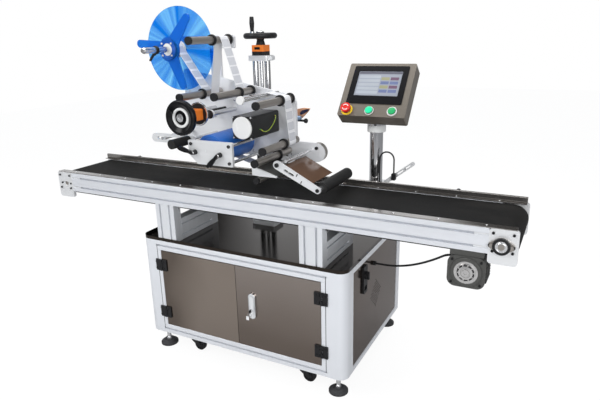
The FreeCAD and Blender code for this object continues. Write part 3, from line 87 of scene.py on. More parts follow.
class Val:
    """One socket of a shader, with arithmetic that adds Math nodes."""

    def __init__(self, owner, socket):
        self.owner = owner
        self.socket = socket

    def math(self, operation, first, second):
        return self.owner.node("ShaderNodeMath", {"operation": operation}, {0: first, 1: second})

    def __add__(self, other):
        return self.math("ADD", self, other)

    def __radd__(self, other):
        return self.math("ADD", other, self)

    def __sub__(self, other):
        return self.math("SUBTRACT", self, other)

    def __rsub__(self, other):
        return self.math("SUBTRACT", other, self)

    def __mul__(self, other):
        return self.math("MULTIPLY", self, other)

    def __rmul__(self, other):
        return self.math("MULTIPLY", other, self)


class Shader:
    """The nodes of the world or of one material."""

    def __init__(self, tree):
        self.tree = tree

    def node(self, kind, settings, sockets, out=0):
        """A node from its type, its settings and the values or links of its sockets."""
        made = self.tree.nodes.new(kind)
        for name, value in settings.items():
            if name == "stops":
                for element, (place, tone) in zip(made.color_ramp.elements, value):
                    element.position = place
                    element.color = (*tone, 1.0)
            else:
                setattr(made, name, value)
        for key, value in sockets.items():
            if isinstance(value, Val):
                self.tree.links.new(value.socket, made.inputs[key])
            else:
                made.inputs[key].default_value = value
        return Val(self, made.outputs[out])

    def ray(self, kind):
        """One where the light path is a ray of this kind, else nought."""
        return self.node("ShaderNodeLightPath", {}, {}, kind)

    def two_ways(self, factor, first, second, end):
        """Two shaders mixed and, where an end node is named, led to it."""
        mixed = self.node("ShaderNodeMixShader", {}, {0: factor, 1: first, 2: second})
        if end:
            self.tree.links.new(mixed.socket, self.tree.nodes[end].inputs["Surface"])
        return mixed


world = bpy.data.worlds.new("room")
scene.world = world
world.use_nodes = True
room = Shader(world.node_tree)
squeezed = room.node("ShaderNodeVectorMath", {"operation": "MULTIPLY"},
                     {0: room.node("ShaderNodeTexCoord", {}, {}, "Generated"), 1: (1.0, 1.0, 0.45)})
patches = room.node("ShaderNodeTexNoise", {}, {"Vector": squeezed, "Scale": 3.1, "Detail": 1.5})
dark_patch, bright_patch = (0.03, 0.027, 0.025), (0.95, 0.97, 1.0)
contrast = room.node("ShaderNodeValToRGB", {"stops": [(0.46, dark_patch), (0.58, bright_patch)]},
                     {"Fac": patches})
mirrored = room.node("ShaderNodeBackground", {}, {"Color": contrast})
plain = room.node("ShaderNodeBackground", {}, {"Color": (0.94, 0.96, 1.0, 1.0), "Strength": 0.62})
white_back = room.node("ShaderNodeBackground", {}, {"Color": (1.0, 1.0, 1.0, 1.0)})
seen = room.ray("Is Camera Ray")
seen = seen.math("MAXIMUM", seen, room.ray("Is Transmission Ray"))
lit = room.two_ways(room.ray("Is Glossy Ray"), plain, mirrored, "")
room.two_ways(seen, lit, white_back, "World Output")

# Lights. One broad key from the upper left, a fill from the right and a box overhead, all square area lamps
# that point at the machine.


def softbox(name, at, aim, size, power):
    """A square area light that points at a place."""
    lamp = bpy.data.lights.new(name, "AREA")
    lamp.shape = "RECTANGLE"
    lamp.size, lamp.size_y = size
    lamp.energy = power
    holder = bpy.data.objects.new(name, lamp)
    holder.location = at
    holder.rotation_mode = "QUATERNION"
    holder.rotation_quaternion = (Vector(aim) - Vector(at)).to_track_quat("-Z", "Y")
    scene.collection.objects.link(holder)


softbox("key", (-2.2, -3.0, 3.2), (0.0, 0.0, 0.8), (2.0, 2.0), 76.0)
softbox("fill", (2.6, -3.0, 1.9), (0.1, 0.0, 0.8), (1.8, 2.2), 60.0)
softbox("overhead", (0.0, 0.3, 3.6), (0.0, 0.0, 0.8), (3.0, 1.6), 50.0)

# Floor. A pale seamless sheet that keeps the shadow of the machine and is nearly white to the camera.
# A Paint is one material with its Principled shader and what varies over it.


def shade(colour, factor):
    """The colour, darker or lighter."""
    return tuple(min(1.0, c * factor) for c in colour)


class Paint(Shader):
    """A material with one Principled shader."""

    def __init__(self, name, colour, metal=0.0, rough=0.5, coat=0.0):
        self.material = bpy.data.materials.new(name)
        self.material.use_nodes = True
        super().__init__(self.material.node_tree)
        self.shader = self.tree.nodes["Principled BSDF"]
        self.colour = colour
        self.set("Base Color", (*colour, 1.0))
        self.set("Metallic", metal)
        self.set("Roughness", rough)
        self.set("Coat Weight", coat)
        self.set("Coat Roughness", 0.15)
        self.material.diffuse_color = (*colour, 1.0)

    def set(self, name, value):
        if isinstance(value, Val):
            self.tree.links.new(value.socket, self.shader.inputs[name])
        else:
            self.shader.inputs[name].default_value = value

    def place(self, stretch=(1.0, 1.0, 1.0)):
        """Position on the object, scaled along each axis."""
        at = self.node("ShaderNodeTexCoord", {}, {}, "Object")
        return self.node("ShaderNodeVectorMath", {"operation": "MULTIPLY"}, {0: at, 1: stretch})

    def along(self, axis):
        """Position on the object along one axis."""
        return self.node("ShaderNodeSeparateXYZ", {}, {0: self.place()}, axis)

    def noise(self, scale, detail=3.0, stretch=(1.0, 1.0, 1.0), rough=0.5):
        return self.node("ShaderNodeTexNoise", {}, {"Vector": self.place(stretch), "Scale": scale,
                                                    "Detail": detail, "Roughness": rough}, "Fac")

    def wave(self, direction, scale, bend=0.0):
        """Stripes square to a direction, in the object's own space."""
        return self.node("ShaderNodeTexWave", {"bands_direction": direction},
                         {"Vector": self.place(), "Scale": scale, "Distortion": bend}, "Fac")

    def ramp(self, value, low, high):
        """Nought below the low value, one above the high one."""
        stops = [(low, (0.0, 0.0, 0.0)), (high, (1.0, 1.0, 1.0))]
        return self.node("ShaderNodeValToRGB", {"stops": stops}, {"Fac": value})

    def tint(self, factor, first, second):
        """A base colour that runs between two colours."""
        self.set("Base Color", self.node("ShaderNodeMix", {"data_type": "RGBA"},
                                         {0: factor, 6: (*first, 1.0), 7: (*second, 1.0)}, 2))

    def vary(self, factor, dark, light):
        """A base colour that runs between darker and lighter shades of the paint's own."""
        self.tint(factor, shade(self.colour, dark), shade(self.colour, light))

    def bump(self, height, strength, distance):
        self.set("Normal", self.node("ShaderNodeBump", {}, {"Height": height, "Strength": strength,
                                                            "Distance": distance}))


floor_paint = Paint("floor", (0.93, 0.93, 0.93), 0.0, 0.6)
floor_paint.tint(floor_paint.noise(1.4, 2.0), (0.52, 0.52, 0.52), (0.56, 0.56, 0.56))
sheet_seen = (floor_paint.ray("Is Camera Ray") + floor_paint.ray("Is Transmission Ray")) * 0.8
floor_paint.two_ways(sheet_seen, Val(floor_paint, floor_paint.shader.outputs[0]),
                     floor_paint.node("ShaderNodeEmission", {}, {"Strength": 1.15}), "Material Output")
floor_mesh = bpy.data.meshes.new("floor")
floor_mesh.from_pydata([(-9, -6, 0), (9, -6, 0), (9, 12, 0), (-9, 12, 0)], [], [(0, 1, 2, 3)])
floor = bpy.data.objects.new("floor", floor_mesh)
floor.data.materials.append(floor_paint.material)
scene.collection.objects.link(floor)
floor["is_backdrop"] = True

# Cabinet frame: corner posts and rails in steel, powder-coated white-silver with a fine orange peel, duller
# where hands and boots rub it. A near-black strip of painted shade lies in the seam up each front corner,
# beside the rounded post.
CABINET_X = -43.0
BELT_Y = -150.0
AXIS_TURN = {"x": Matrix.Rotation(math.pi / 2, 3, "Y"), "y": Matrix.Rotation(-math.pi / 2, 3, "X"),
             "z": Matrix.Identity(3)}
CREASE = math.radians(32.0)


def spot(x, y, z):
    """A point in metres from millimetres measured off the cabinet's middle and the belt's centre line."""
    return Vector((CABINET_X + x, BELT_Y + y, z)) * 0.001


def dress(paint, slot_name, *names):
    """Gives whole solids one material; slot_name is not used."""
    for name in names:
        mesh = nodes[name].data
        mesh.materials.clear()
        mesh.materials.append(paint.material)
        mesh.polygons.foreach_set("material_index", [0] * len(mesh.polygons))


def group(name, shapes, paint, body):
    """One piece from shapes, each its points in metres and its faces; only sharp edges crease."""
    points, faces = [], []
    for some_points, some_faces in shapes:
        base = len(points)
        points += [tuple(point) for point in some_points]
        faces += [tuple(base + i for i in face) for face in some_faces]
    mesh = bpy.data.meshes.new(name)
    mesh.from_pydata(points, [], faces)
    mesh.validate()
    mesh.polygons.foreach_set("use_smooth", [True] * len(mesh.polygons))
    mesh.set_sharp_from_angle(angle=CREASE)
    mesh.materials.append(paint.material)
    made = bpy.data.objects.new(name, mesh)
    scene.collection.objects.link(made)
    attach(made, body)


def skin(rows, ends="open"):
    """A skin over rows of points; its ends stay open, are capped, or meet in a loop."""
    count = len(rows[0])
    points = [point for row in rows for point in row]
    faces = []
    for row in range(len(rows) - (0 if ends == "loop" else 1)):
        here, there = row * count, (row + 1) % len(rows) * count
        for step in range(count):
            after = (step + 1) % count
            faces.append((here + step, here + after, there + after, there + step))
    if ends == "capped":
        faces += [tuple(reversed(range(count))), tuple(range(len(points) - count, len(points)))]
    return points, faces


def slab(outline, axis, at, low, high, lip):
    """A bevelled plate from (u, v) pairs in millimetres about a place, from low to high along an axis."""
    middle_u = sum(u for u, v in outline) / len(outline)
    middle_v = sum(v for u, v in outline) / len(outline)
    rows = []
    for along, inset in ((low, lip), (low + lip, 0.0), (high - lip, 0.0), (high, lip)):
        rows.append([])
        for u, v in outline:
            share = 1.0 - inset / max(1e-6, math.hypot(u - middle_u, v - middle_v))
            local = Vector((middle_u + (u - middle_u) * share, middle_v + (v - middle_v) * share, along))
            rows[-1].append(at + AXIS_TURN[axis] @ (local * 0.001))
    return skin(rows, "capped")


def rounded(width, height, radius, steps=6):
    """An outline of a rectangle with round corners."""
    made = []
    for corner, (sx, sy) in enumerate(((1, 1), (-1, 1), (-1, -1), (1, -1))):
        for step in range(steps + 1):
            angle = math.pi / 2 * (corner + step / steps)
            made.append((sx * (width / 2 - radius) + radius * math.cos(angle),
                         sy * (height / 2 - radius) + radius * math.sin(angle)))
    return made


coat = Paint("frame_coat", (0.79, 0.81, 0.845), 0.25, 0.36, 0.15)
patch = coat.noise(6.0, 3.0)
scuff = coat.ramp(coat.noise(38.0, 6.0, (1.0, 1.0, 0.4)), 0.62, 0.78)
coat.vary(patch * 0.5, 0.95, 1.04)
coat.set("Roughness", 0.30 + patch * 0.12 + scuff * 0.12)
coat.bump(coat.noise(420.0, 2.0), 0.10, 0.0004)
dress(coat, "frame_white", "corner_posts", "frame_rails")
# Painted shade: a thin near-black strip stands for the shade in the gap between door and post.
seam_shade = Paint("seam_shade", (0.03, 0.03, 0.032), 0.0, 0.6)
seam_shade.set("Roughness", 0.5 + seam_shade.noise(300.0, 2.0) * 0.3)
post_low, post_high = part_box("corner_posts")
seam = rounded(2.4, 1000 * (post_high.z - post_low.z) - 40, 0.8, 2)
seam_middle = 500 * (post_low.z + post_high.z)
group("corner_seams", [slab(seam, "y", spot(x, -160, seam_middle), -0.35, 0.3, 0.1) for x in (-399.5, 399.5)],
      seam_shade, "machine_frame")

# Cabinet sheets: doors, side, back and bottom sheets and the tray, all brushed stainless, folded and screwed
# on. The doors' grain is upright and the tray's runs along the belt; both doors take a soft gradient of
# painted shade, and the other sheets and the tray take darker shades of the same steel as painted shade.


def brushed(name, colour, along, rough):
    """Stainless sheet with a fine brushed grain along one axis and faint finger marks."""
    paint = Paint(name, colour, 0.95, rough)
    stretch, wide = [1500.0] * 3, [140.0] * 3
    stretch[along], wide[along] = 9.0, 1.5
    grain = paint.noise(1.0, 3.0, tuple(stretch), 0.7)
    streak = paint.noise(1.0, 2.0, tuple(wide))
    marks = paint.ramp(paint.noise(11.0, 5.0), 0.55, 0.75)
    paint.vary(streak * 0.10 + grain * 0.08 + paint.noise(2.2, 2.0) * 0.82, 0.50, 1.50)
    paint.set("Roughness", rough + grain * 0.08 + marks * 0.08)
    paint.bump(grain, 0.12, 0.0001)
    return paint


left_steel = brushed("left_door_steel", (0.235, 0.195, 0.165), 2, 0.15)
# Painted shade: the left door is darker towards its outer edge and lighter towards the middle.
left_door_shade = left_steel.ramp(left_steel.along("X") * 0.9 + 0.20 + left_steel.noise(2.6, 2.0) * 0.3, 0.0, 0.16)
left_steel.tint(left_door_shade, (0.150, 0.122, 0.102), (0.285, 0.240, 0.205))
right_steel = brushed("right_door_steel", (0.235, 0.195, 0.165), 2, 0.15)
# Painted shade: the right door is darker towards the bottom and lighter towards the top.
right_door_shade = right_steel.ramp(right_steel.along("Z") + right_steel.noise(2.6, 2.0) * 0.16, 0.28, 0.62)
right_steel.tint(right_door_shade, (0.185, 0.152, 0.130), (0.320, 0.280, 0.255))
dress(left_steel, "stainless", "left_door")
dress(right_steel, "stainless", "right_door")
# Painted shade: the side, back and bottom sheets and the tray are the same steel as the doors, coloured
# darker.
dress(brushed("panel_steel_shaded", (0.105, 0.076, 0.060), 1, 0.11), "stainless", "cabinet_panels")
dress(brushed("tray_steel_shaded", (0.042, 0.034, 0.028), 0, 0.09), "stainless", "top_tray", "slider_bed")

# Switch unit, gland and caster plates on the cabinet: black moulded plastic and black-coated steel, screwed
# through the right and the bottom sheet. The main switch is a turning knob of the same plastic.


def moulded(name, colour, rough, grain=900.0, depth=0.16, shine=0.3):
    """Moulded plastic with a fine leathery texture, paler where it has been handled."""
    paint = Paint(name, colour, 0.0, rough)
    skin_grain = paint.noise(grain, 2.0)
    worn = paint.ramp(paint.noise(30.0, 5.0), 0.58, 0.80)
    paint.tint(worn * 0.6, colour, tuple(min(1.0, c * 1.30 + 0.006) for c in colour))
    paint.set("Roughness", rough - 0.05 + skin_grain * 0.14)
    paint.set("Specular IOR Level", shine)
    paint.bump(skin_grain, depth, 0.0003)
    return paint


def repaint(name, paint, inside):
    """Gives the faces of a solid whose middles pass a test another material; x, y and z are as in spot."""
    mesh = nodes[name].data
    mesh.materials.append(paint.material)
    index = len(mesh.materials) - 1
    for face in mesh.polygons:
        at = face.center * 1000.0
        if inside(at.x - CABINET_X, at.y - BELT_Y, at.z):
            face.material_index = index


black = moulded("black_moulding", (0.010, 0.010, 0.011), 0.44)
black_coat = moulded("black_coat", (0.012, 0.012, 0.013), 0.38, 1300.0, 0.10)
dress(black, "black_plastic", "main_switch")
repaint("cabinet_panels", black, lambda x, y, z: x > 477.1 and z > 370)
repaint("cabinet_panels", black_coat, lambda x, y, z: z < 86.9)

# Hinges: black plastic leaves on the frame and the doors, each leaf held by two black socket-head screws.
# The door leaves are part of the doors' solids; the lock plate in the right door is anodised aluminium.


def extruded(name, colour, along, rough=0.30, metal=0.50):
    """Clear-anodised aluminium with the fine draw lines of the die along one axis."""
    paint = Paint(name, colour, metal, rough)
    stretch, broad = [900.0] * 3, [60.0] * 3
    stretch[along], broad[along] = 3.0, 0.8
    lines = paint.noise(1.0, 2.0, tuple(stretch))
    bands = paint.noise(1.0, 2.0, tuple(broad))
    paint.vary(bands * 0.6 + paint.noise(9.0, 3.0) * 0.4, 0.90, 1.06)
    paint.set("Roughness", rough - 0.06 + bands * 0.14 + lines * 0.10)
    paint.bump(lines, 0.10, 0.0002)
    return paint


def full_turn(steps):
    """Angles in even steps round a full turn."""
    return [2 * math.pi * step / steps for step in range(steps)]


def turning(axis, at, outline, steps=40):
    """A turned shape from (radius, along) pairs in millimetres, about an axis through a place in metres."""
    rows = []
    for radius, along in outline:
        circle = [Vector((radius * math.cos(a), radius * math.sin(a), along)) for a in full_turn(steps)]
        rows.append([at + AXIS_TURN[axis] @ (point * 0.001) for point in circle])
    return skin(rows)


def cap_screw(at, radius, facing=-1):
    """A socket-head cap screw along Y: round head with a bevelled rim and a socket; facing is +1 or -1."""
    high = radius * 1.1
    rim = ((radius, 0.0), (radius, high * 0.86), (radius * 0.88, high), (radius * 0.56, high),
           (radius * 0.50, high * 0.45), (0.01, high * 0.42))
    return turning("y", at, [(r, facing * along) for r, along in rim], 18)


plate_metal = extruded("plate_anodised", (0.84, 0.85, 0.86), 0, 0.34)
repaint("right_door", plate_metal, lambda x, y, z: 55 < x < 97 and y < -160.1)
for door in ("left_door", "right_door"):
    repaint(door, black, lambda x, y, z: abs(x) > 340 and y < -160.1)
dress(black, "black_plastic", "hinge_frame_leaves")
leaf_out, leaf_screws = 19.0, {"frame": [], "left": [], "right": []}
for door, pin, to_door in (("left", -387.0, 1), ("right", 381.0, -1)):
    for z in (196.0, 421.0):
        for leaf, side in ((door, to_door), ("frame", -to_door)):
            for rise in (-15.0, 15.0):
                leaf_screws[leaf].append(cap_screw(spot(pin + side * leaf_out, -164.0, z + rise), 3.2))
for leaf, body in (("frame", "machine_frame"), ("left", "left_door"), ("right", "right_door")):
    group(f"hinge_screws_{leaf}", leaf_screws[leaf], black_coat, body)

# Lock: a swing handle in an oblong plate with a raised chromed rim, clamped through the right door.
# A key with a plastic head is in it, and a paper tag hangs from the key's thin steel ring.


def plate(name, outline, axis, at, low, high, lip, paint, body):
    """One bevelled plate."""
    group(name, [slab(outline, axis, at, low, high, lip)], paint, body)


chrome = Paint("chrome", (0.60, 0.60, 0.61), 1.0, 0.08)
smudge = chrome.ramp(chrome.noise(26.0, 5.0, (1.0, 1.0, 0.5)), 0.52, 0.72)
chrome.set("Roughness", 0.06 + smudge * 0.12)
chrome.bump(chrome.noise(300.0, 1.0, (1.0, 1.0, 0.05)), 0.03, 0.0001)
dress(plate_metal, "chrome", "lock_handle")
rim_rise, rim_rows = 40.0, []
for along, reach in ((-0.2, 16.4), (-7.0, 16.4), (-7.6, 15.8), (-7.6, 14.2), (-6.2, 13.6)):
    rim_rows.append([])
    for angle in full_turn(48):
        rise = rim_rise if math.sin(angle) > 0 else -rim_rise
        rim_rows[-1].append(spot(76 + reach * math.cos(angle), -160 + along,
                                 324 + rise + reach * math.sin(angle)))
group("lock_rim", [skin(rim_rows)], chrome, "right_door")
key_at = spot(76, -166, 310)
plate("key_head", rounded(2.6, 15, 1.2), "y", key_at - Vector((0, 0, 0.002)), -23.0, -8.0, 1.0,
      black, "lock_handle")
ring_r, wire_r, ring_rows = 0.009, 0.0007, []
for angle in full_turn(30):
    centre = key_at + Vector((ring_r * math.cos(angle), -0.020, -0.014 + ring_r * math.sin(angle)))
    ring_rows.append([])
    for spin in full_turn(8):
        reach = wire_r * math.cos(spin)
        ring_rows[-1].append(centre + Vector((reach * math.cos(angle), wire_r * math.sin(spin),
                                              reach * math.sin(angle))))
group("key_ring", [skin(ring_rows, "loop")], chrome, "lock_handle")
paper = Paint("label_web", (0.90, 0.90, 0.88), 0.0, 0.42, 0.2)
fibre = paper.noise(240.0, 4.0)
paper.tint(fibre * 0.5 + paper.noise(18.0, 3.0) * 0.5, (0.74, 0.75, 0.77), (0.84, 0.84, 0.85))
paper.set("Roughness", 0.32 + fibre * 0.16)
paper.bump(fibre, 0.06, 0.0002)
plate("key_tag", rounded(13, 17, 3), "y", spot(66, -166, 279), -21.0, -20.0, 0.2,
      paper, "lock_handle")

# Feet and casters: levelling feet with a rubber pad on a turned steel stud, and twin-fork swivel casters with
# grooved plastic wheels, a rubber hub cap each side and a plastic brake pedal, bolted under the corners.


def turned_metal(name, colour, metal, rough):
    """Satin bar turned on a lathe: fine rings round the bar, which lies along Y."""
    paint = Paint(name, colour, metal, rough)
    rings = paint.noise(1.0, 2.0, (4.0, 1400.0, 4.0))
    paint.vary(paint.noise(24.0, 4.0) * 0.6 + rings * 0.4, 0.88, 1.08)
    paint.set("Roughness", rough - 0.05 + rings * 0.16)
    paint.bump(rings, 0.12, 0.0002)
    return paint


rubber = moulded("foot_rubber", (0.045, 0.045, 0.048), 0.62, 500.0, 0.2)
bright = turned_metal("bright_bar", (0.80, 0.80, 0.81), 0.95, 0.18)
dress(rubber, "foot_rubber", "levelling_feet")
repaint("levelling_feet", bright, lambda x, y, z: z > 20.5)
for number in range(1, 5):
    wheel, fork = f"caster_wheel_{number}", f"caster_fork_{number}"
    dress(black, "black_plastic", wheel)
    dress(black_coat, "black_metal", fork)
    wheel_low, wheel_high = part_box(wheel)
    hub = (wheel_low + wheel_high) / 2
    rounds = []
    for side in (-1, 1):
        cap = ((9.4, 7.2), (9.4, 10.6), (7.6, 11.6), (0.01, 11.8))
        rounds.append(turning("y", hub, [(radius, side * along) for radius, along in cap], 28))
    for mid in (-5.0, 0.0, 5.0):
        groove = ((27.0, mid - 1.0), (27.25, mid - 0.6), (27.25, mid + 0.6), (27.0, mid + 1.0))
        rounds.append(turning("y", hub, groove, 48))
    group(f"caster_cap_{number}", rounds, rubber, wheel)
    fork_low, fork_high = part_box(fork)
    pedal = Vector((fork_low.x + 0.048, (fork_low.y + fork_high.y) / 2, fork_high.z - 0.012))
    plate(f"caster_brake_{number}", rounded(14, 24, 3), "z", pedal, -2.0, 3.0, 0.8,
          black, fork)

# Conveyor: two beams and the support posts under them, extruded in clear-anodised aluminium, with milled end
# plates bolted across their ends by black socket-head screws. CONVEYOR_X is the middle of its length.
CONVEYOR_X = 43
dress(extruded("beam_anodised", (0.83, 0.85, 0.89), 0), "anodised", "conveyor_beams")
dress(extruded("post_anodised", (0.82, 0.84, 0.87), 2), "anodised", "support_posts")
dress(plate_metal, "anodised", "end_plates")
satin = turned_metal("satin_roller", (0.36, 0.335, 0.31), 0.8, 0.30)
repaint("end_plates", satin, lambda x, y, z: x > 900 and abs(y) > 159.1)
group("frame_screws", [cap_screw(spot(CONVEYOR_X + way * x, -159, z), 4.5)
                       for way in (-1, 1) for z in (712, 771) for x in (925, 985)],
      black_coat, "machine_frame")

# Edge guides: folded stainless strips along both edges of the belt, held down by bright countersunk screws.
# The sensor side has a black moulded rail.
dress(brushed("strip_steel", (0.40, 0.38, 0.36), 0, 0.16), "stainless", "edge_guides")
repaint("edge_guides", black, lambda x, y, z: y > 153.5 and z > 790)
flat_head = [(4.2, 0.0), (4.0, 0.8), (1.9, 0.8), (1.7, 0.3), (0.01, 0.3)]
group("strip_screws", [turning("z", spot(CONVEYOR_X + x, y, 787.5), flat_head, 16)
                       for x in range(-900, 1000, 150) for y in (-140, 134)],
      bright, "machine_frame")

# Belt: one loop of black rubber with a woven cover that holds a little grey dust, over two satin metal
# rollers turned on a lathe.
belt = Paint("belt_cover", (0.008, 0.008, 0.008), 0.0, 0.6)
weave_a, weave_b = belt.wave("X", 330.0, 1.2), belt.wave("Y", 330.0, 1.2)
dust = belt.ramp(belt.noise(7.0, 6.0, (0.5, 1.6, 1.0)), 0.45, 0.80)
belt.tint(dust * 0.7 + weave_a * weave_b * 0.3, belt.colour, (0.032, 0.030, 0.028))
belt.set("Roughness", 0.52 + dust * 0.2 + weave_a * 0.08)
belt.set("Specular IOR Level", 0.06)
belt.bump(weave_a * weave_b, 0.3, 0.0004)
dress(belt, "belt_black", "conveyor_belt")
dress(satin, "roller_grey", "drive_roller", "idler_roller")

# Bearings: a black-coated housing on two bolts round each end of the drive roller's shaft, with a bright race
# in it. At the other end, black take-up screws stand beside the idler's shaft.
ROLLER_X, ROLLER_Z = 952, 733
races, housings, ear_bolts, take_ups = [], [], [], []
for side in (-1, 1):
    race = [(18.5, 0), (18, 0.6), (15.5, 0.6), (15, 0.1), (13, 1.6), (10.2, 1.6)]
    housing = [(27, -8), (27, 0.4), (25.4, 1.2), (19.4, 1.2), (18.8, 0)]
    for shapes, stand, outline, steps in ((races, 174, race, 40), (housings, 173.6, housing, 48)):
        shapes.append(turning("y", spot(CONVEYOR_X + ROLLER_X, side * stand, ROLLER_Z),
                              [(radius, side * along) for radius, along in outline], steps))
    for ear in (-27, 27):
        ear_bolts.append(cap_screw(spot(CONVEYOR_X + ROLLER_X + ear * 1.3, side * 166, ROLLER_Z), 5, side))
        take_ups.append(cap_screw(spot(CONVEYOR_X - ROLLER_X + ear, side * 156, ROLLER_Z), 4, side))
group("bearing_races", races, bright, "machine_frame")
group("bearing_housings", housings, black_coat, "machine_frame")
group("bearing_bolts", ear_bolts, black_coat, "machine_frame")
group("take_up_screws", take_ups, black_coat, "machine_frame")

# Gear motor: a dark grey casting with cooling ribs, screwed on under the belt. Its fan cover is a bright
# turned cap, in a recess, whose slots are black arcs of painted shade; a moulded gland takes the lead.


def arc_band(outer, inner, start, sweep, steps):
    """The outline of a piece of a ring, from an angle and a sweep in degrees."""
    arc = [math.radians(start + sweep * n / steps) for n in range(steps + 1)]
    return ([(outer * math.cos(t), outer * math.sin(t)) for t in arc]
            + [(inner * math.cos(t), inner * math.sin(t)) for t in reversed(arc)])


def turned(name, axis, at, outline, paint, body, steps=40):
    """One turned piece."""
    group(name, [turning(axis, at, outline, steps)], paint, body)


cast = Paint("grey_cast", (0.085, 0.085, 0.080), 0.5, 0.48)
pits = cast.noise(260.0, 4.0)
cast.vary(pits, 0.78, 1.25)
cast.set("Roughness", 0.40 + pits * 0.22)
cast.bump(pits, 0.28, 0.0006)
dress(cast, "dark_grey", "drive_motor")
motor_face = spot(894.5, -160, 626)
turned("motor_cover", "y", motor_face, [(50, 0.5), (50, -3), (47.5, -6), (40, -6.6), (38.5, -5), (38, -5)],
       cast, "machine_frame", 64)
turned("fan_cover", "y", motor_face, [
    (38.2, -4.9), (31, -5.2), (30.4, -7.6), (28, -8), (27, -6.4), (23.6, -6.4), (22.6, -8.6),
    (16, -9.4), (15, -7.6), (12.6, -7.6), (11.6, -9.8), (5, -10.2), (4.4, -8.8), (0.01, -8.8)],
       turned_metal("turned_steel", (0.62, 0.61, 0.60), 0.95, 0.15), "machine_frame", 64)
# Painted shade: black arcs on the cap stand for the shade inside the fan cover's slots.
group("fan_slot_shade", [slab(arc_band(27.2, 23.4, 36 * n, 26, 6), "y", motor_face, -6.9, -6.2, 0.1)
                    for n in range(10)], black_coat, "machine_frame")
group("motor_screws", [cap_screw(motor_face + Vector((sx * 0.0455, 0, sz * 0.0395)), 4.2)
                       for sx in (-1, 1) for sz in (-1, 1)], black_coat, "machine_frame")
ribs, rib = [], rounded(3.2, 84, 1.2, 3)
for step in range(7):
    ribs.append(slab(rib, "x", spot(954.2, -112, 596 + step * 10), -0.4, 3.2, 0.6))
    ribs.append(slab(rib, "z", spot(864.5 + step * 10, -112, 572), -3.0, 0.4, 0.6))
group("motor_ribs", ribs, cast, "machine_frame")
turned("lead_gland", "x", spot(854.8, -40, 630),
       [(9, 0), (9, -5), (7.4, -6), (7.4, -12), (5.6, -14), (4.2, -14.2)],
       black, "machine_frame", 24)

# Cords: black sheathed leads, bent freely along their own routes. The motor's lead leaves the cabinet's gland
# and hangs a little; the sensor's lead rises beside the pole, bows over and comes down on the sensor, a black
# moulding on a milled bracket.


def lead(name, points, radius, paint, body, roundness, steps):
    """A smooth lead through points in metres; its radius is in millimetres."""
    curve = bpy.data.curves.new(name, "CURVE")
    curve.dimensions = "3D"
    curve.bevel_depth = radius * 0.001
    curve.bevel_resolution = roundness
    curve.use_fill_caps = True
    line = curve.splines.new("NURBS")
    line.points.add(len(points) - 1)
    for point, at in zip(line.points, points):
        point.co = (*at, 1.0)
    line.order_u = 3
    line.use_endpoint_u = True
    line.resolution_u = steps
    curve.materials.append(paint.material)
    piece = bpy.data.objects.new(name, curve)
    scene.collection.objects.link(piece)
    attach(piece, body)
    return piece


def free_cord(name, points, radius, node):
    """A soft cord that stands for the plain tube of the solids."""
    length = 0.0
    ends = [points[0]] + [(a + b) / 2 for a, b in zip(points[1:], points[2:-1])] + [points[-1]]
    for start, bend, stop in zip(ends, points[1:-1], ends[1:]):
        steps = [start.lerp(bend, t / 20).lerp(bend.lerp(stop, t / 20), t / 20) for t in range(21)]
        length += sum((b - a).length for a, b in zip(steps, steps[1:]))
    piece = lead(name, points, radius, sheath, "machine_frame", 5, 12)
    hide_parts(node)


sheath = moulded("cord_sheath", (0.016, 0.016, 0.017), 0.45, 900.0, 0.12)
hang_from, hang_to, sag = spot(526, 144, 462), spot(812.5, -40, 630), 0.080
hang = [hang_from.lerp(hang_to, n / 7) - Vector((0, 0, sag * (n / 7) * (1 - n / 7))) for n in range(8)]
free_cord("motor_lead", [spot(472, 144, 462)] + hang + [spot(854.5, -40, 630)], 4.0, "motor_cord")
root, top = spot(488, 167, 792.3), spot(546, 162, 842.2)
bow = [(0, 0, 0), (-0.0015, 0, 0.038), (-0.001, -0.001, 0.077), (0, -0.002, 0.115), (0.017, -0.003, 0.132),
       (0.041, -0.004, 0.132), (0.058, -0.005, 0.115)]
free_cord("sensor_lead", [root + Vector(step) for step in bow]
          + [top + Vector((0, -0.001, 0.034)), top + Vector((0, 0, 0.0003))], 3.0, "sensor_cord")
dress(plate_metal, "anodised", "sensor_bracket")
repaint("sensor_bracket", black, lambda x, y, z: (y < 169.9 or y > 174.1) and z > 812)

# Column: chromed bars between anodised plates, with a black bearing on top and a black-coated handwheel with
# a plastic handle over it. An orange moulded housing with a dark window shows the height.
orange = moulded("orange_moulding", (0.84, 0.21, 0.025), 0.34, 800.0, 0.06)
black_gloss = moulded("black_gloss", (0.007, 0.007, 0.008), 0.22, 500.0, 0.06, 0.18)
dress(chrome, "chrome", "column_frame")
repaint("column_frame", plate_metal, lambda x, y, z: z < 563 or 1261 < z < 1285)
repaint("column_frame", black_coat, lambda x, y, z: 1284.5 < z < 1299.9)
repaint("column_frame", orange, lambda x, y, z: z >= 1299.9)
dress(black_coat, "black_metal", "top_handwheel")
repaint("top_handwheel", bright, lambda x, y, z: z < 1327)
dress(black, "black_plastic", "top_handle")
turned("top_wheel_cap", "z", spot(-68, 225, 1378), [
    (16.8, -2), (16.8, 1.2), (15.2, 2.6), (9, 3.2), (8.4, 5.6), (4.2, 5.8), (3.8, 3.6), (0.01, 3.6)],
       bright, "top_handwheel")
grip_reach, grip_angle = 59, math.radians(156)
turned("grip_collar", "z",
       spot(-68 + grip_reach * math.cos(grip_angle), 225 + grip_reach * math.sin(grip_angle), 1378),
       [(9.8, -4), (9.8, 1.6), (9, 2.4), (6, 2.6)], bright, "top_handwheel", 32)
plate("top_indicator_window", rounded(26, 10, 2), "y", spot(-68, 196, 1313), -1.4, 0.3, 0.5,
      black_gloss, "machine_frame")
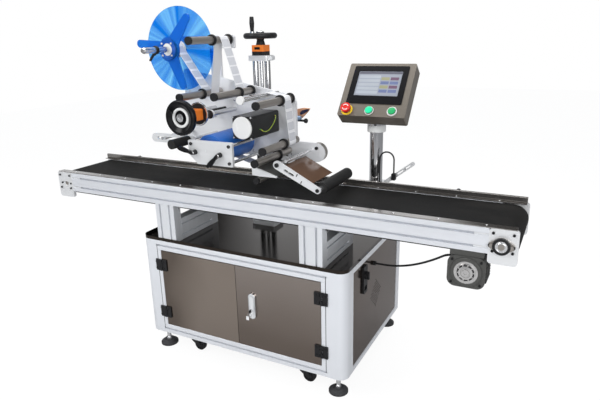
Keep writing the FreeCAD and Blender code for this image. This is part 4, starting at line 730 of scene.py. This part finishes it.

# Carriage and front bridge: bright bars and chromed cross rods between anodised plates, a black flange disc
# and an orange indicator. The handwheel is glossy black with a white ring of painted highlight, a bright
# middle and a crank knob.
white = moulded("white_moulding", (0.74, 0.74, 0.73), 0.32, 600.0, 0.05)
dress(bright, "anodised", "lift_carriage")
repaint("lift_carriage", chrome, lambda x, y, z: -78 < y < 186 and z > 1036)
repaint("lift_carriage", black_coat, lambda x, y, z: -98.5 < y < -89.5)
repaint("lift_carriage", orange, lambda x, y, z: y <= -98.5)
repaint("lift_carriage", plate_metal, lambda x, y, z: y > 186 or -89.5 <= y < -77.5)
dress(black_gloss, "black_plastic", "front_handwheel")
front_axis = spot(-172, -190, 1075)
# Painted highlight: a white ring on the glossy black wheel stands for the crescent of light reflected on it.
turned("front_wheel_highlight", "y", front_axis,
       [(38, -13), (37, -17), (34, -18.2), (30, -18.2), (28, -16), (27.6, -12)],
       white, "front_handwheel", 60)
turned("front_wheel_centre", "y", front_axis,
       [(15.6, -18.8), (15, -20), (10, -20.4), (9, -22.6), (4.4, -22.8), (4, -20.6), (0.01, -20.6)],
       bright, "front_handwheel")
turned("front_crank_knob", "y", front_axis + Vector((-0.038, 0.0, 0.020)),
       [(8.2, -22), (8.4, -26), (9.8, -29), (9.8, -31), (8, -33.4), (0.01, -34)],
       black_gloss, "front_handwheel", 36)
turned("flange_disc_rim", "y", spot(-172, -90, 1075),
       [(45.2, 0.5), (46.4, -1), (46.4, -7), (45.2, -8.6), (41, -8.9), (40.4, -8.1)],
       bright, "lift_carriage", 64)
window_at = spot(-172, -142, 1082)
plate("front_indicator_window", rounded(26, 11, 2), "y", window_at, -1.4, 0.3, 0.5,
      black_gloss, "lift_carriage")
plate("front_indicator_frame", rounded(31, 16, 3), "y", window_at, -0.8, 0.3, 0.3,
      white, "lift_carriage")

# Head: an anodised plate that carries bright spindles and a pale slotted bracket on bright screws; the edge
# faces of its arm take the darker satin as painted shade. The black label motor has a white cover; a turned
# disc closes the arm's round end.
PLATE_FRONT, PLATE_BACK = 87, 99


def away(x, z, centre_x, centre_z):
    """Distance across Y from an axis."""
    return math.hypot(x - centre_x, z - centre_z)


dress(extruded("head_anodised", (0.90, 0.91, 0.93), 0, 0.42, 0.35), "anodised", "head_plate")
# Painted shade: the edge faces of the plate's arm take the darker satin so that the side stands apart from
# the lit front.
repaint("head_plate", satin,
        lambda x, y, z: away(x, z, 252, 917) > 37.2 and x > 252 and PLATE_FRONT + 0.2 < y < PLATE_BACK - 0.2)
dress(bright, "anodised", "head_frame")
repaint("head_frame", plate_metal, lambda x, y, z: -188.5 < y < -175.5 or -112.5 < y < -101.5)
repaint("head_frame", black_coat, lambda x, y, z: y < -188.6 and z < 990)
repaint("head_frame", white, lambda x, y, z: away(x, z, 85, 1146) < 16 and y < -177)
dress(black_coat, "black_metal", "label_motor")
repaint("label_motor", white, lambda x, y, z: y < -115.1)
plate_holes = ((-222, 1110), (-222, 1040), (-122, 1110), (-122, 1040), (20, 1096), (110, 1096), (-340, 905),
               (-40, 905), (140, 905), (-215, 1200), (-193, 1200), (-215, 1225), (-193, 1225))
motor_holes = ((4, 996), (4, 1074), (82, 996), (82, 1074))
group("head_screws", [cap_screw(spot(x, PLATE_FRONT, z), 4.5) for x, z in plate_holes]
      + [cap_screw(spot(x, -115, z), 3.5) for x, z in motor_holes], bright, "label_head")
turned("arm_disc", "y", spot(252, PLATE_BACK, 917),
       [(30, -0.3), (37.6, -0.3), (37.6, 12.6), (36.6, 13.8), (0.01, 14)],
       satin, "label_head", 64)
group("arm_bolt", [cap_screw(spot(253, PLATE_FRONT, 934.5), 6.5)], black_coat, "label_head")

# Earth lead of the label motor: green with yellow stripes, bent in a bow between the motor and the plate.
earth = Paint("earth_lead", (0.35, 0.62, 0.08), 0.0, 0.35)
earth.tint(earth.ramp(earth.wave("DIAGONAL", 60.0), 0.45, 0.55), (0.05, 0.36, 0.08), (0.80, 0.72, 0.05))
earth_bow = ((83.5, 60, 1062), (90, 56, 1060), (98, 40, 1050), (100, 14, 1030), (99, -18, 1012),
             (97, -46, 1012), (90, -58, 1022), (83.5, -62, 1026))
lead("earth_wire", [spot(*step) for step in earth_bow], 1.6, earth, "label_head", 4, 10)

# Drive: a toothed rubber belt behind the head plate, from the label motor's pulley to the drum's. Both
# pulleys are turned in bright metal with a flange each side.


def loop_band(first, r_first, last, r_last, low, high, thick):
    """A closed band round two wheels, across Y."""
    run = Vector((last[0] - first[0], last[1] - first[1]))
    lean = math.atan2(run.y, run.x)
    open_angle = math.acos((r_first - r_last) / run.length)
    rows = []
    for centre, radius, start, stop in ((last, r_last, lean + open_angle, lean - open_angle),
                                        (first, r_first, lean - open_angle, lean + open_angle - 2 * math.pi)):
        for angle in [start + (stop - start) * step / 14 for step in range(15)]:
            rows.append([spot(centre[0] + (radius + grow) * math.cos(angle), y,
                              centre[1] + (radius + grow) * math.sin(angle))
                         for grow, y in ((0, high), (thick, high), (thick, low), (0, low))])
    return skin(rows, "loop")


motor_wheel, drum_wheel = (43, 1035), (-75, 952)
group("drive_belt", [loop_band(motor_wheel, 15, drum_wheel, 24, 106, 118, 2.2)],
      rubber, "label_head")
group("drive_pulleys", [turning("y", spot(x, PLATE_BACK + 0.4, z), [
    (8, 0), (flange, 0), (flange, 3), (flange - 2.8, 4), (flange - 2.8, 21), (flange, 22), (flange, 24),
    (boss, 25), (0.01, 25)]) for (x, z), flange, boss in ((motor_wheel, 17.5, 6), (drum_wheel, 26.5, 8))],
      bright, "label_head")

# Tension adjuster behind the right edge of the head plate: a body on a stud, coloured blue-grey as a painted
# highlight of the light-blue gleam on it, a black knob on an arm and a copper leaf spring with a dark blue
# pad, screwed together as one set.
adjuster = spot(160, 110, 1046)
turned("adjuster_stud", "y", adjuster - Vector((0.010, 0, 0)), [(7, -10.4), (7, 18), (0.01, 18.4)],
       bright, "label_head", 28)
# Painted highlight: the body is coloured blue-grey for the light-blue gleam on it.
turned("adjuster_body", "x", adjuster,
       [(0.01, -18), (6, -17), (9.6, -10), (10, 4), (8, 13), (3, 17), (0.01, 17.2)],
       extruded("gleam_blue_grey", (0.22, 0.32, 0.46), 1, 0.26), "label_head", 36)
turned("adjuster_knob", "x", adjuster - Vector((0, 0, 0.0095)),
       [(4.2, -8), (4.6, 29), (7, 29.6), (9.6, 33), (9.6, 39), (7.4, 42), (0.01, 42.6)],
       black_gloss, "label_head", 36)
leaf = ((127, 1070.6), (151, 1079.8), (181, 1085.6), (209.6, 1084.6), (203.4, 1073.6), (185.4, 1055),
        (174.2, 1044.6), (144.6, 1043.2), (126.6, 1050.4))
pad = ((163.6, 1065), (174.8, 1075.4), (205.6, 1082.8), (201.6, 1074.6), (185.4, 1063.6), (167.6, 1057.2))
plate("adjuster_leaf", [(x, -z) for x, z in leaf], "y", spot(0, 0, 0), 122.0, 127.0, 1.6,
      turned_metal("copper", (0.74, 0.40, 0.24), 0.6, 0.26), "label_head")
plate("adjuster_pad", [(x, -z) for x, z in pad], "y", spot(0, 0, 0), 119.6, 122.4, 0.8,
      moulded("pad_blue", (0.018, 0.022, 0.055), 0.2, 500.0, 0.04), "label_head")

# Rollers of the head: satin guide rollers with black end collars, black foam sleeves, a blue-coated drum
# with a diamond knurl, and a peel roller with a black knob on its front end, beside the cast peel plate.
for number in range(1, 7):
    roller = f"guide_roller_{number}"
    dress(satin, "roller_grey", roller)
    middle = sum(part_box(roller), Vector((0, 0, 0))) * 500
    repaint(roller, black,
            lambda x, y, z: y < -179 or away(x, z, middle.x - CABINET_X, middle.z) > 14.2)
dress(moulded("black_sleeve", (0.014, 0.014, 0.014), 0.66, 1500.0, 0.35), "foam_black",
      "black_roller", "press_roller")
drum = Paint("blue_coat", (0.015, 0.13, 0.50), 0.1, 0.42, 0.2)
knurl = drum.node("ShaderNodeTexVoronoi", {"distance": "CHEBYCHEV"}, {"Vector": drum.place(), "Scale": 330.0},
                  "Distance")
drum.vary(drum.noise(30.0, 4.0), 0.8, 1.3)
drum.set("Roughness", 0.34 + knurl * 0.2)
drum.bump(knurl, 0.3, 0.0005)
dress(drum, "blue_coat", "traction_drum")
dress(cast, "dark_grey", "peel_plate")
repaint("peel_plate", plate_metal, lambda x, y, z: y < -150.9)
dress(satin, "roller_grey", "peel_roller")
turned("peel_cap", "y", spot(125, -150, 850),
       [(5.4, -7.2), (11.6, -7.4), (12, -8.4), (12, -19), (10.8, -20.6), (0.01, -21)],
       black, "peel_roller", 32)

# Press arm: milled aluminium arms with a bright shaft and bars, black axle ends and a stiff sheet of brown
# film, thin and glossy. Two setting marks across the front arm are filled with black enamel.
film = Paint("brown_film", (0.14, 0.085, 0.05), 0.0, 0.12, 0.3)
film.set("Roughness", 0.08 + film.noise(50.0, 4.0) * 0.14)
film.tint(film.noise(12.0, 3.0), (0.085, 0.048, 0.032), (0.145, 0.085, 0.055))
dress(plate_metal, "anodised", "press_arms")
repaint("press_arms", bright, lambda x, y, z: y > -131.9)
repaint("press_arms", black_coat, lambda x, y, z: y < -140.1)
repaint("press_arms", film, lambda x, y, z: (y > -132.1 and 205 < x < 345
                                             and (x - 200) * 79 + (z - 911) * 162 > 8.97 * 180.24))
marks, (slant_x, slant_z) = [], (0.489, 0.872)
for x, z in ((281.1, 880.9), (298.1, 856.5)):
    marks.append(slab([(x + slant_x * u + slant_z * v, slant_x * v - slant_z * u - z)
                       for u, v in ((5.6, 1.7), (-5.6, 1.7), (-5.6, -1.7), (5.6, -1.7))],
                      "y", spot(0, -140, 0), -0.3, 0.2, 0.05))
group("arm_marks", marks, black_coat, "press_arms")

# Clamping levers: black moulded arms with teardrop grips, and a bright screw in each hub.
for number, (hub_x, hub_z, tip_x, tip_z) in enumerate(((-128, 945, -190, 962), (-14, 942, -58, 898)), 1):
    lever = f"clamp_lever_{number}"
    dress(black, "black_plastic", lever)
    lever_at = spot(hub_x, -188, hub_z)
    run = Vector((tip_x - hub_x, tip_z - hub_z))
    lean = math.atan2(run.y, run.x)
    teardrop = []
    for angle in full_turn(28):
        along = run.length * 0.56 + 0.52 * run.length * math.cos(angle)
        wide = (5.5 + 6.0 * (1 + math.cos(angle)) / 2) * math.sin(angle)
        teardrop.append((along * math.cos(lean) - wide * math.sin(lean),
                         -(along * math.sin(lean) + wide * math.cos(lean))))
    plate(f"lever_grip_{number}", teardrop, "y", lever_at, -29.0, -13.5, 3.5,
          black_gloss, lever)
    turned(f"lever_screw_{number}", "y", lever_at,
           [(7.2, -20.2), (7.2, -22.6), (6.4, -23.4), (3, -23.4), (2.6, -21.8), (0.01, -21.8)],
           bright, lever, 28)

# Unwinder: a clear blue plastic disc with painted radial reflection streaks and a white nylon hub behind it,
# a three-armed blue flange in front, and on the shaft a deep blue ring with four white screws and a black
# clamp with its lever.
clear_blue = Paint("clear_blue", (0.04, 0.42, 0.92), 0.0, 0.05)
clear_blue.set("Transmission Weight", 0.80)
clear_blue.set("IOR", 1.2)
# Painted reflection: light and dark blue streaks run out from the disc's middle, set by the angle round it.
disc_middle = sum(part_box("unwinder_disc"), Vector((0, 0, 0))) / 2
rise = clear_blue.along("Z") - disc_middle.z
bearing = rise.math("ARCTAN2", rise, clear_blue.along("X") - disc_middle.x)
painted_streaks = clear_blue.node("ShaderNodeTexNoise", {"noise_dimensions": "1D"},
                         {"W": bearing, "Scale": 2.3, "Detail": 3.0}, "Fac")
clear_blue.tint(clear_blue.ramp(painted_streaks, 0.36, 0.66), (0.006, 0.22, 0.78), (0.24, 0.64, 0.98))
clear_blue.set("Roughness", 0.03 + clear_blue.noise(1.0, 3.0, (90.0, 90.0, 14.0)) * 0.08)
dress(clear_blue, "clear_blue", "unwinder_disc")
nylon = moulded("white_nylon", (0.74, 0.75, 0.74), 0.45, 400.0, 0.06)
repaint("unwinder_disc", nylon, lambda x, y, z: away(x, z, -361, 1318) < 34.2)
royal = Paint("royal_blue", (0.02, 0.22, 0.74), 0.0, 0.20, 0.2)
royal.set("Transmission Weight", 0.55)
royal.set("IOR", 1.25)
royal.set("Roughness", 0.10 + royal.noise(60.0, 4.0) * 0.14)
royal.bump(royal.noise(700.0, 2.0), 0.08, 0.0002)
dress(royal, "royal_blue", "unwinder_flange")
unwind_axis = spot(-361, 0, 1318)
turned("hub_ring", "y", unwind_axis,
       [(42, -20.8), (42, -23.4), (40.6, -24.6), (26, -24.6), (24.4, -23.8), (24.3, -21)],
       moulded("hub_blue", (0.008, 0.09, 0.42), 0.24, 500.0, 0.05), "unwinder", 64)
hub_screws = []
for angle in [math.radians(45 + 90 * n) for n in range(4)]:
    hub_screws.append(cap_screw(
        unwind_axis + Vector((0.033 * math.cos(angle), -0.0245, 0.033 * math.sin(angle))), 3.6))
group("hub_screws", hub_screws, nylon, "unwinder")
turned("shaft_clamp", "y", unwind_axis,
       [(12.1, -86), (16, -86.6), (16.5, -88), (16.5, -97), (16, -98), (12.1, -98.6)],
       black, "label_head", 32)
lever_edge = ((6, -6), (4, -12), (-5, -14), (-23.5, -34), (-27.5, -34.5), (-29, -31), (-26, -27), (-8, -5),
              (0, -3.4))
plate("shaft_lever", [(u - 6, 8 - v) for u, v in lever_edge], "y", unwind_axis, -97.0, -89.0, 0.8,
      black, "label_head")

# Web and labels: pale backing paper round the rollers, and thin glossy stickers in a row on the outer side
# of each straight stretch. A wheel has its middle, its radius and the side on which the web passes it.
dress(paper, "web_white", "label_web")
label_paint = Paint("labels", (0.95, 0.95, 0.94), 0.0, 0.22, 0.5)
label_paint.tint(label_paint.noise(9.0, 2.0), (0.55, 0.56, 0.60), (0.64, 0.65, 0.68))
label_paint.set("Roughness", 0.16 + label_paint.noise(120.0, 2.0) * 0.1)
web_wheels = [((-361, 1318), 24, -1), ((-187, 1147), 14, 1), ((-124, 1352), 14, -1), ((-28, 1154), 14, 1),
              ((85, 1146), 8, -1), ((148, 1128), 14, -1), ((167, 966), 14, -1)]
web_half, label_pitch, web_middle = 0.55, 34.0, 24.0
stickers = []
for (c1, r1, s1), (c2, r2, s2) in zip(web_wheels, web_wheels[1:]):
    first, last = Vector(c1), Vector(c2)
    off_first, off_last = s1 * (r1 + web_half), s2 * (r2 + web_half)
    run = last - first
    lean = math.atan2(run.y, run.x) - math.asin((off_last - off_first) / run.length)
    web_way, normal = Vector((math.cos(lean), math.sin(lean))), Vector((-math.sin(lean), math.cos(lean)))
    start = first - normal * off_first
    length = (last - normal * off_last - start).length
    count = int((length - 4.0) // label_pitch)
    for index in range(count):
        rows = []
        for lift in (0.22, 0.34):
            middle = start + web_way * ((index + 0.5) * length / count) + normal * lift
            rows.append([spot(middle.x + web_way.x * u, web_middle + v, middle.y + web_way.y * u)
                         for u, v in reversed(rounded(30, 48, 3, 3))])
        stickers.append(skin(rows, "capped"))
group("web_labels", stickers, label_paint, "label_head")

# Screen: a housing in taupe coat on a chromed pole, held by a white moulded collar. Its face has a black
# bezel round a pale blue-grey display with plain panels, and below it the stop button in a yellow collar
# and two green buttons in white rings.
taupe = Paint("screen_coat", (0.170, 0.150, 0.125), 0.45, 0.34)
speck = taupe.noise(600.0, 2.0)
taupe.vary(taupe.noise(7.0, 3.0), 0.88, 1.15)
taupe.set("Roughness", 0.28 + speck * 0.16)
taupe.bump(speck, 0.12, 0.0003)
dress(taupe, "screen_taupe", "screen_box")
dress(chrome, "chrome", "screen_pole")
turned("pole_collar", "z", spot(460, 200, 1022), [(26.5, -27), (34, -27), (36, -25), (36, 1), (34, 2)],
       nylon, "machine_frame", 48)
green = moulded("green_moulding", (0.02, 0.36, 0.12), 0.26, 700.0, 0.05)
dress(moulded("red_moulding", (0.62, 0.025, 0.02), 0.28, 700.0, 0.05), "stop_red", "stop_button")
dress(green, "green", "start_button", "reset_button")
face_tilt = math.radians(38.6)
face_middle = spot(473, 154, 1161)
START_X, RESET_X, STOP_X, BUTTON_UP, DISPLAY_UP = -8, 80, -96, -92, 26


def on_face(across, up, out):
    """A point in millimetres across, up and out of the screen's face."""
    face_up = Vector((0.0, math.sin(face_tilt), math.cos(face_tilt)))
    outward = Vector((0.0, -math.cos(face_tilt), math.sin(face_tilt)))
    return face_middle + (Vector((1, 0, 0)) * across + face_up * up + outward * out) * 0.001


def onto_face(shape, across, up):
    """A shape made about +Z, moved to a place on the screen's face."""
    points, faces = shape
    return [on_face(across + p.x * 1000, up + p.y * 1000, p.z * 1000) for p in points], faces


def panel(width, height, radius, across, up, low=0.1, high=0.4, lip=0.1):
    """A thin round-cornered plate on the screen's face."""
    return onto_face(slab(rounded(width, height, radius), "z", Vector((0, 0, 0)), low, high, lip), across, up)


def turned_on_face(outline, across):
    """A turned shape in the row of buttons on the screen's face."""
    return onto_face(turning("z", Vector((0, 0, 0)), outline), across, BUTTON_UP)


def ring(outer, inner, high, across):
    """A raised ring round a button."""
    return turned_on_face([(outer, 0.0), (outer, high - 0.6), (outer - 0.6, high), (inner + 0.6, high),
                           (inner, high - 0.6), (inner, 0.0)], across)


glow = Paint("display", (0.36, 0.38, 0.42), 0.0, 0.16, 0.4)
glow.tint(glow.noise(3.0, 1.0), (0.24, 0.26, 0.31), (0.34, 0.36, 0.40))
glow.set("Roughness", 0.12 + glow.noise(80.0, 3.0) * 0.08)
group("display_glass", [panel(176, 112, 3, 0, DISPLAY_UP, -1.0, 0.2, 0.3)],
      glow, "screen_box")
bezel_rows = []
for width, height, radius, up, out in ((216, 166, 6, 20, 0.2), (216, 166, 6, 20, 2.4),
                                       (172, 108, 3, DISPLAY_UP, 2.4), (172, 108, 3, DISPLAY_UP, 0.1)):
    bezel_rows.append([on_face(u, v + up, out) for u, v in rounded(width, height, radius)])
group("screen_bezel", [skin(bezel_rows)], black_gloss, "screen_box")
for name, tone, size, columns, heights in (
        ("header", (0.12, 0.12, 0.15), (168, 9, 1), (0,), (73,)),
        ("pale", (0.37, 0.40, 0.44), (84, 13, 1.5), (-38,), (56, 39, 22, 5, -12)),
        ("straw", (0.30, 0.30, 0.18), (32, 13, 1.5), (24,), (48, 12)),
        ("plum", (0.15, 0.09, 0.14), (32, 13, 1.5), (60,), (48, 12)),
        ("slate", (0.14, 0.17, 0.30), (32, 13, 1.5), (24, 60), (30, -6))):
    made = Paint("display_" + name, tone, 0.0, 0.2)
    made.vary(made.noise(14.0, 2.0), 0.86, 1.12)
    made.set("Roughness", 0.14 + made.noise(70.0, 2.0) * 0.1)
    group("display_" + name, [panel(*size, across, up) for across in columns for up in heights],
          made, "screen_box")
yellow = moulded("yellow_moulding", (0.86, 0.60, 0.03), 0.32, 700.0, 0.05)
group("stop_collar", [ring(22.4, 15.5, 3.2, STOP_X)], yellow, "screen_box")
group("button_rings", [ring(17.5, 14.6, 3.0, START_X), ring(18.6, 14.6, 4.6, RESET_X)],
      nylon, "screen_box")
stop_arcs = []
for start in (20, 200):
    arc = slab(arc_band(12.4, 9.6, start, 130, 10), "z", Vector((0, 0, 0)), 21.6, 22.5, 0.1)
    stop_arcs.append(onto_face(arc, STOP_X, BUTTON_UP))
group("stop_arcs", stop_arcs, nylon, "stop_button")
lit_green = moulded("lit_green", (0.02, 0.62, 0.30), 0.2, 700.0, 0.03)
lit_green.set("Emission Color", (0.02, 0.9, 0.4, 1.0))
lit_green.set("Emission Strength", 0.12)
for name, across, paint, high in (("start", START_X, lit_green, 10.6), ("reset", RESET_X, green, 10.2)):
    dome = [(14.2, 6.3), (14.2, high - 2.4), (13.2, high - 1.0), (9.0, high), (0.01, high + 0.4)]
    group(name + "_cap", [turned_on_face(dome, across)], paint, name + "_button")

# Size of the dressed machine, the floor left out.
low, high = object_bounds()
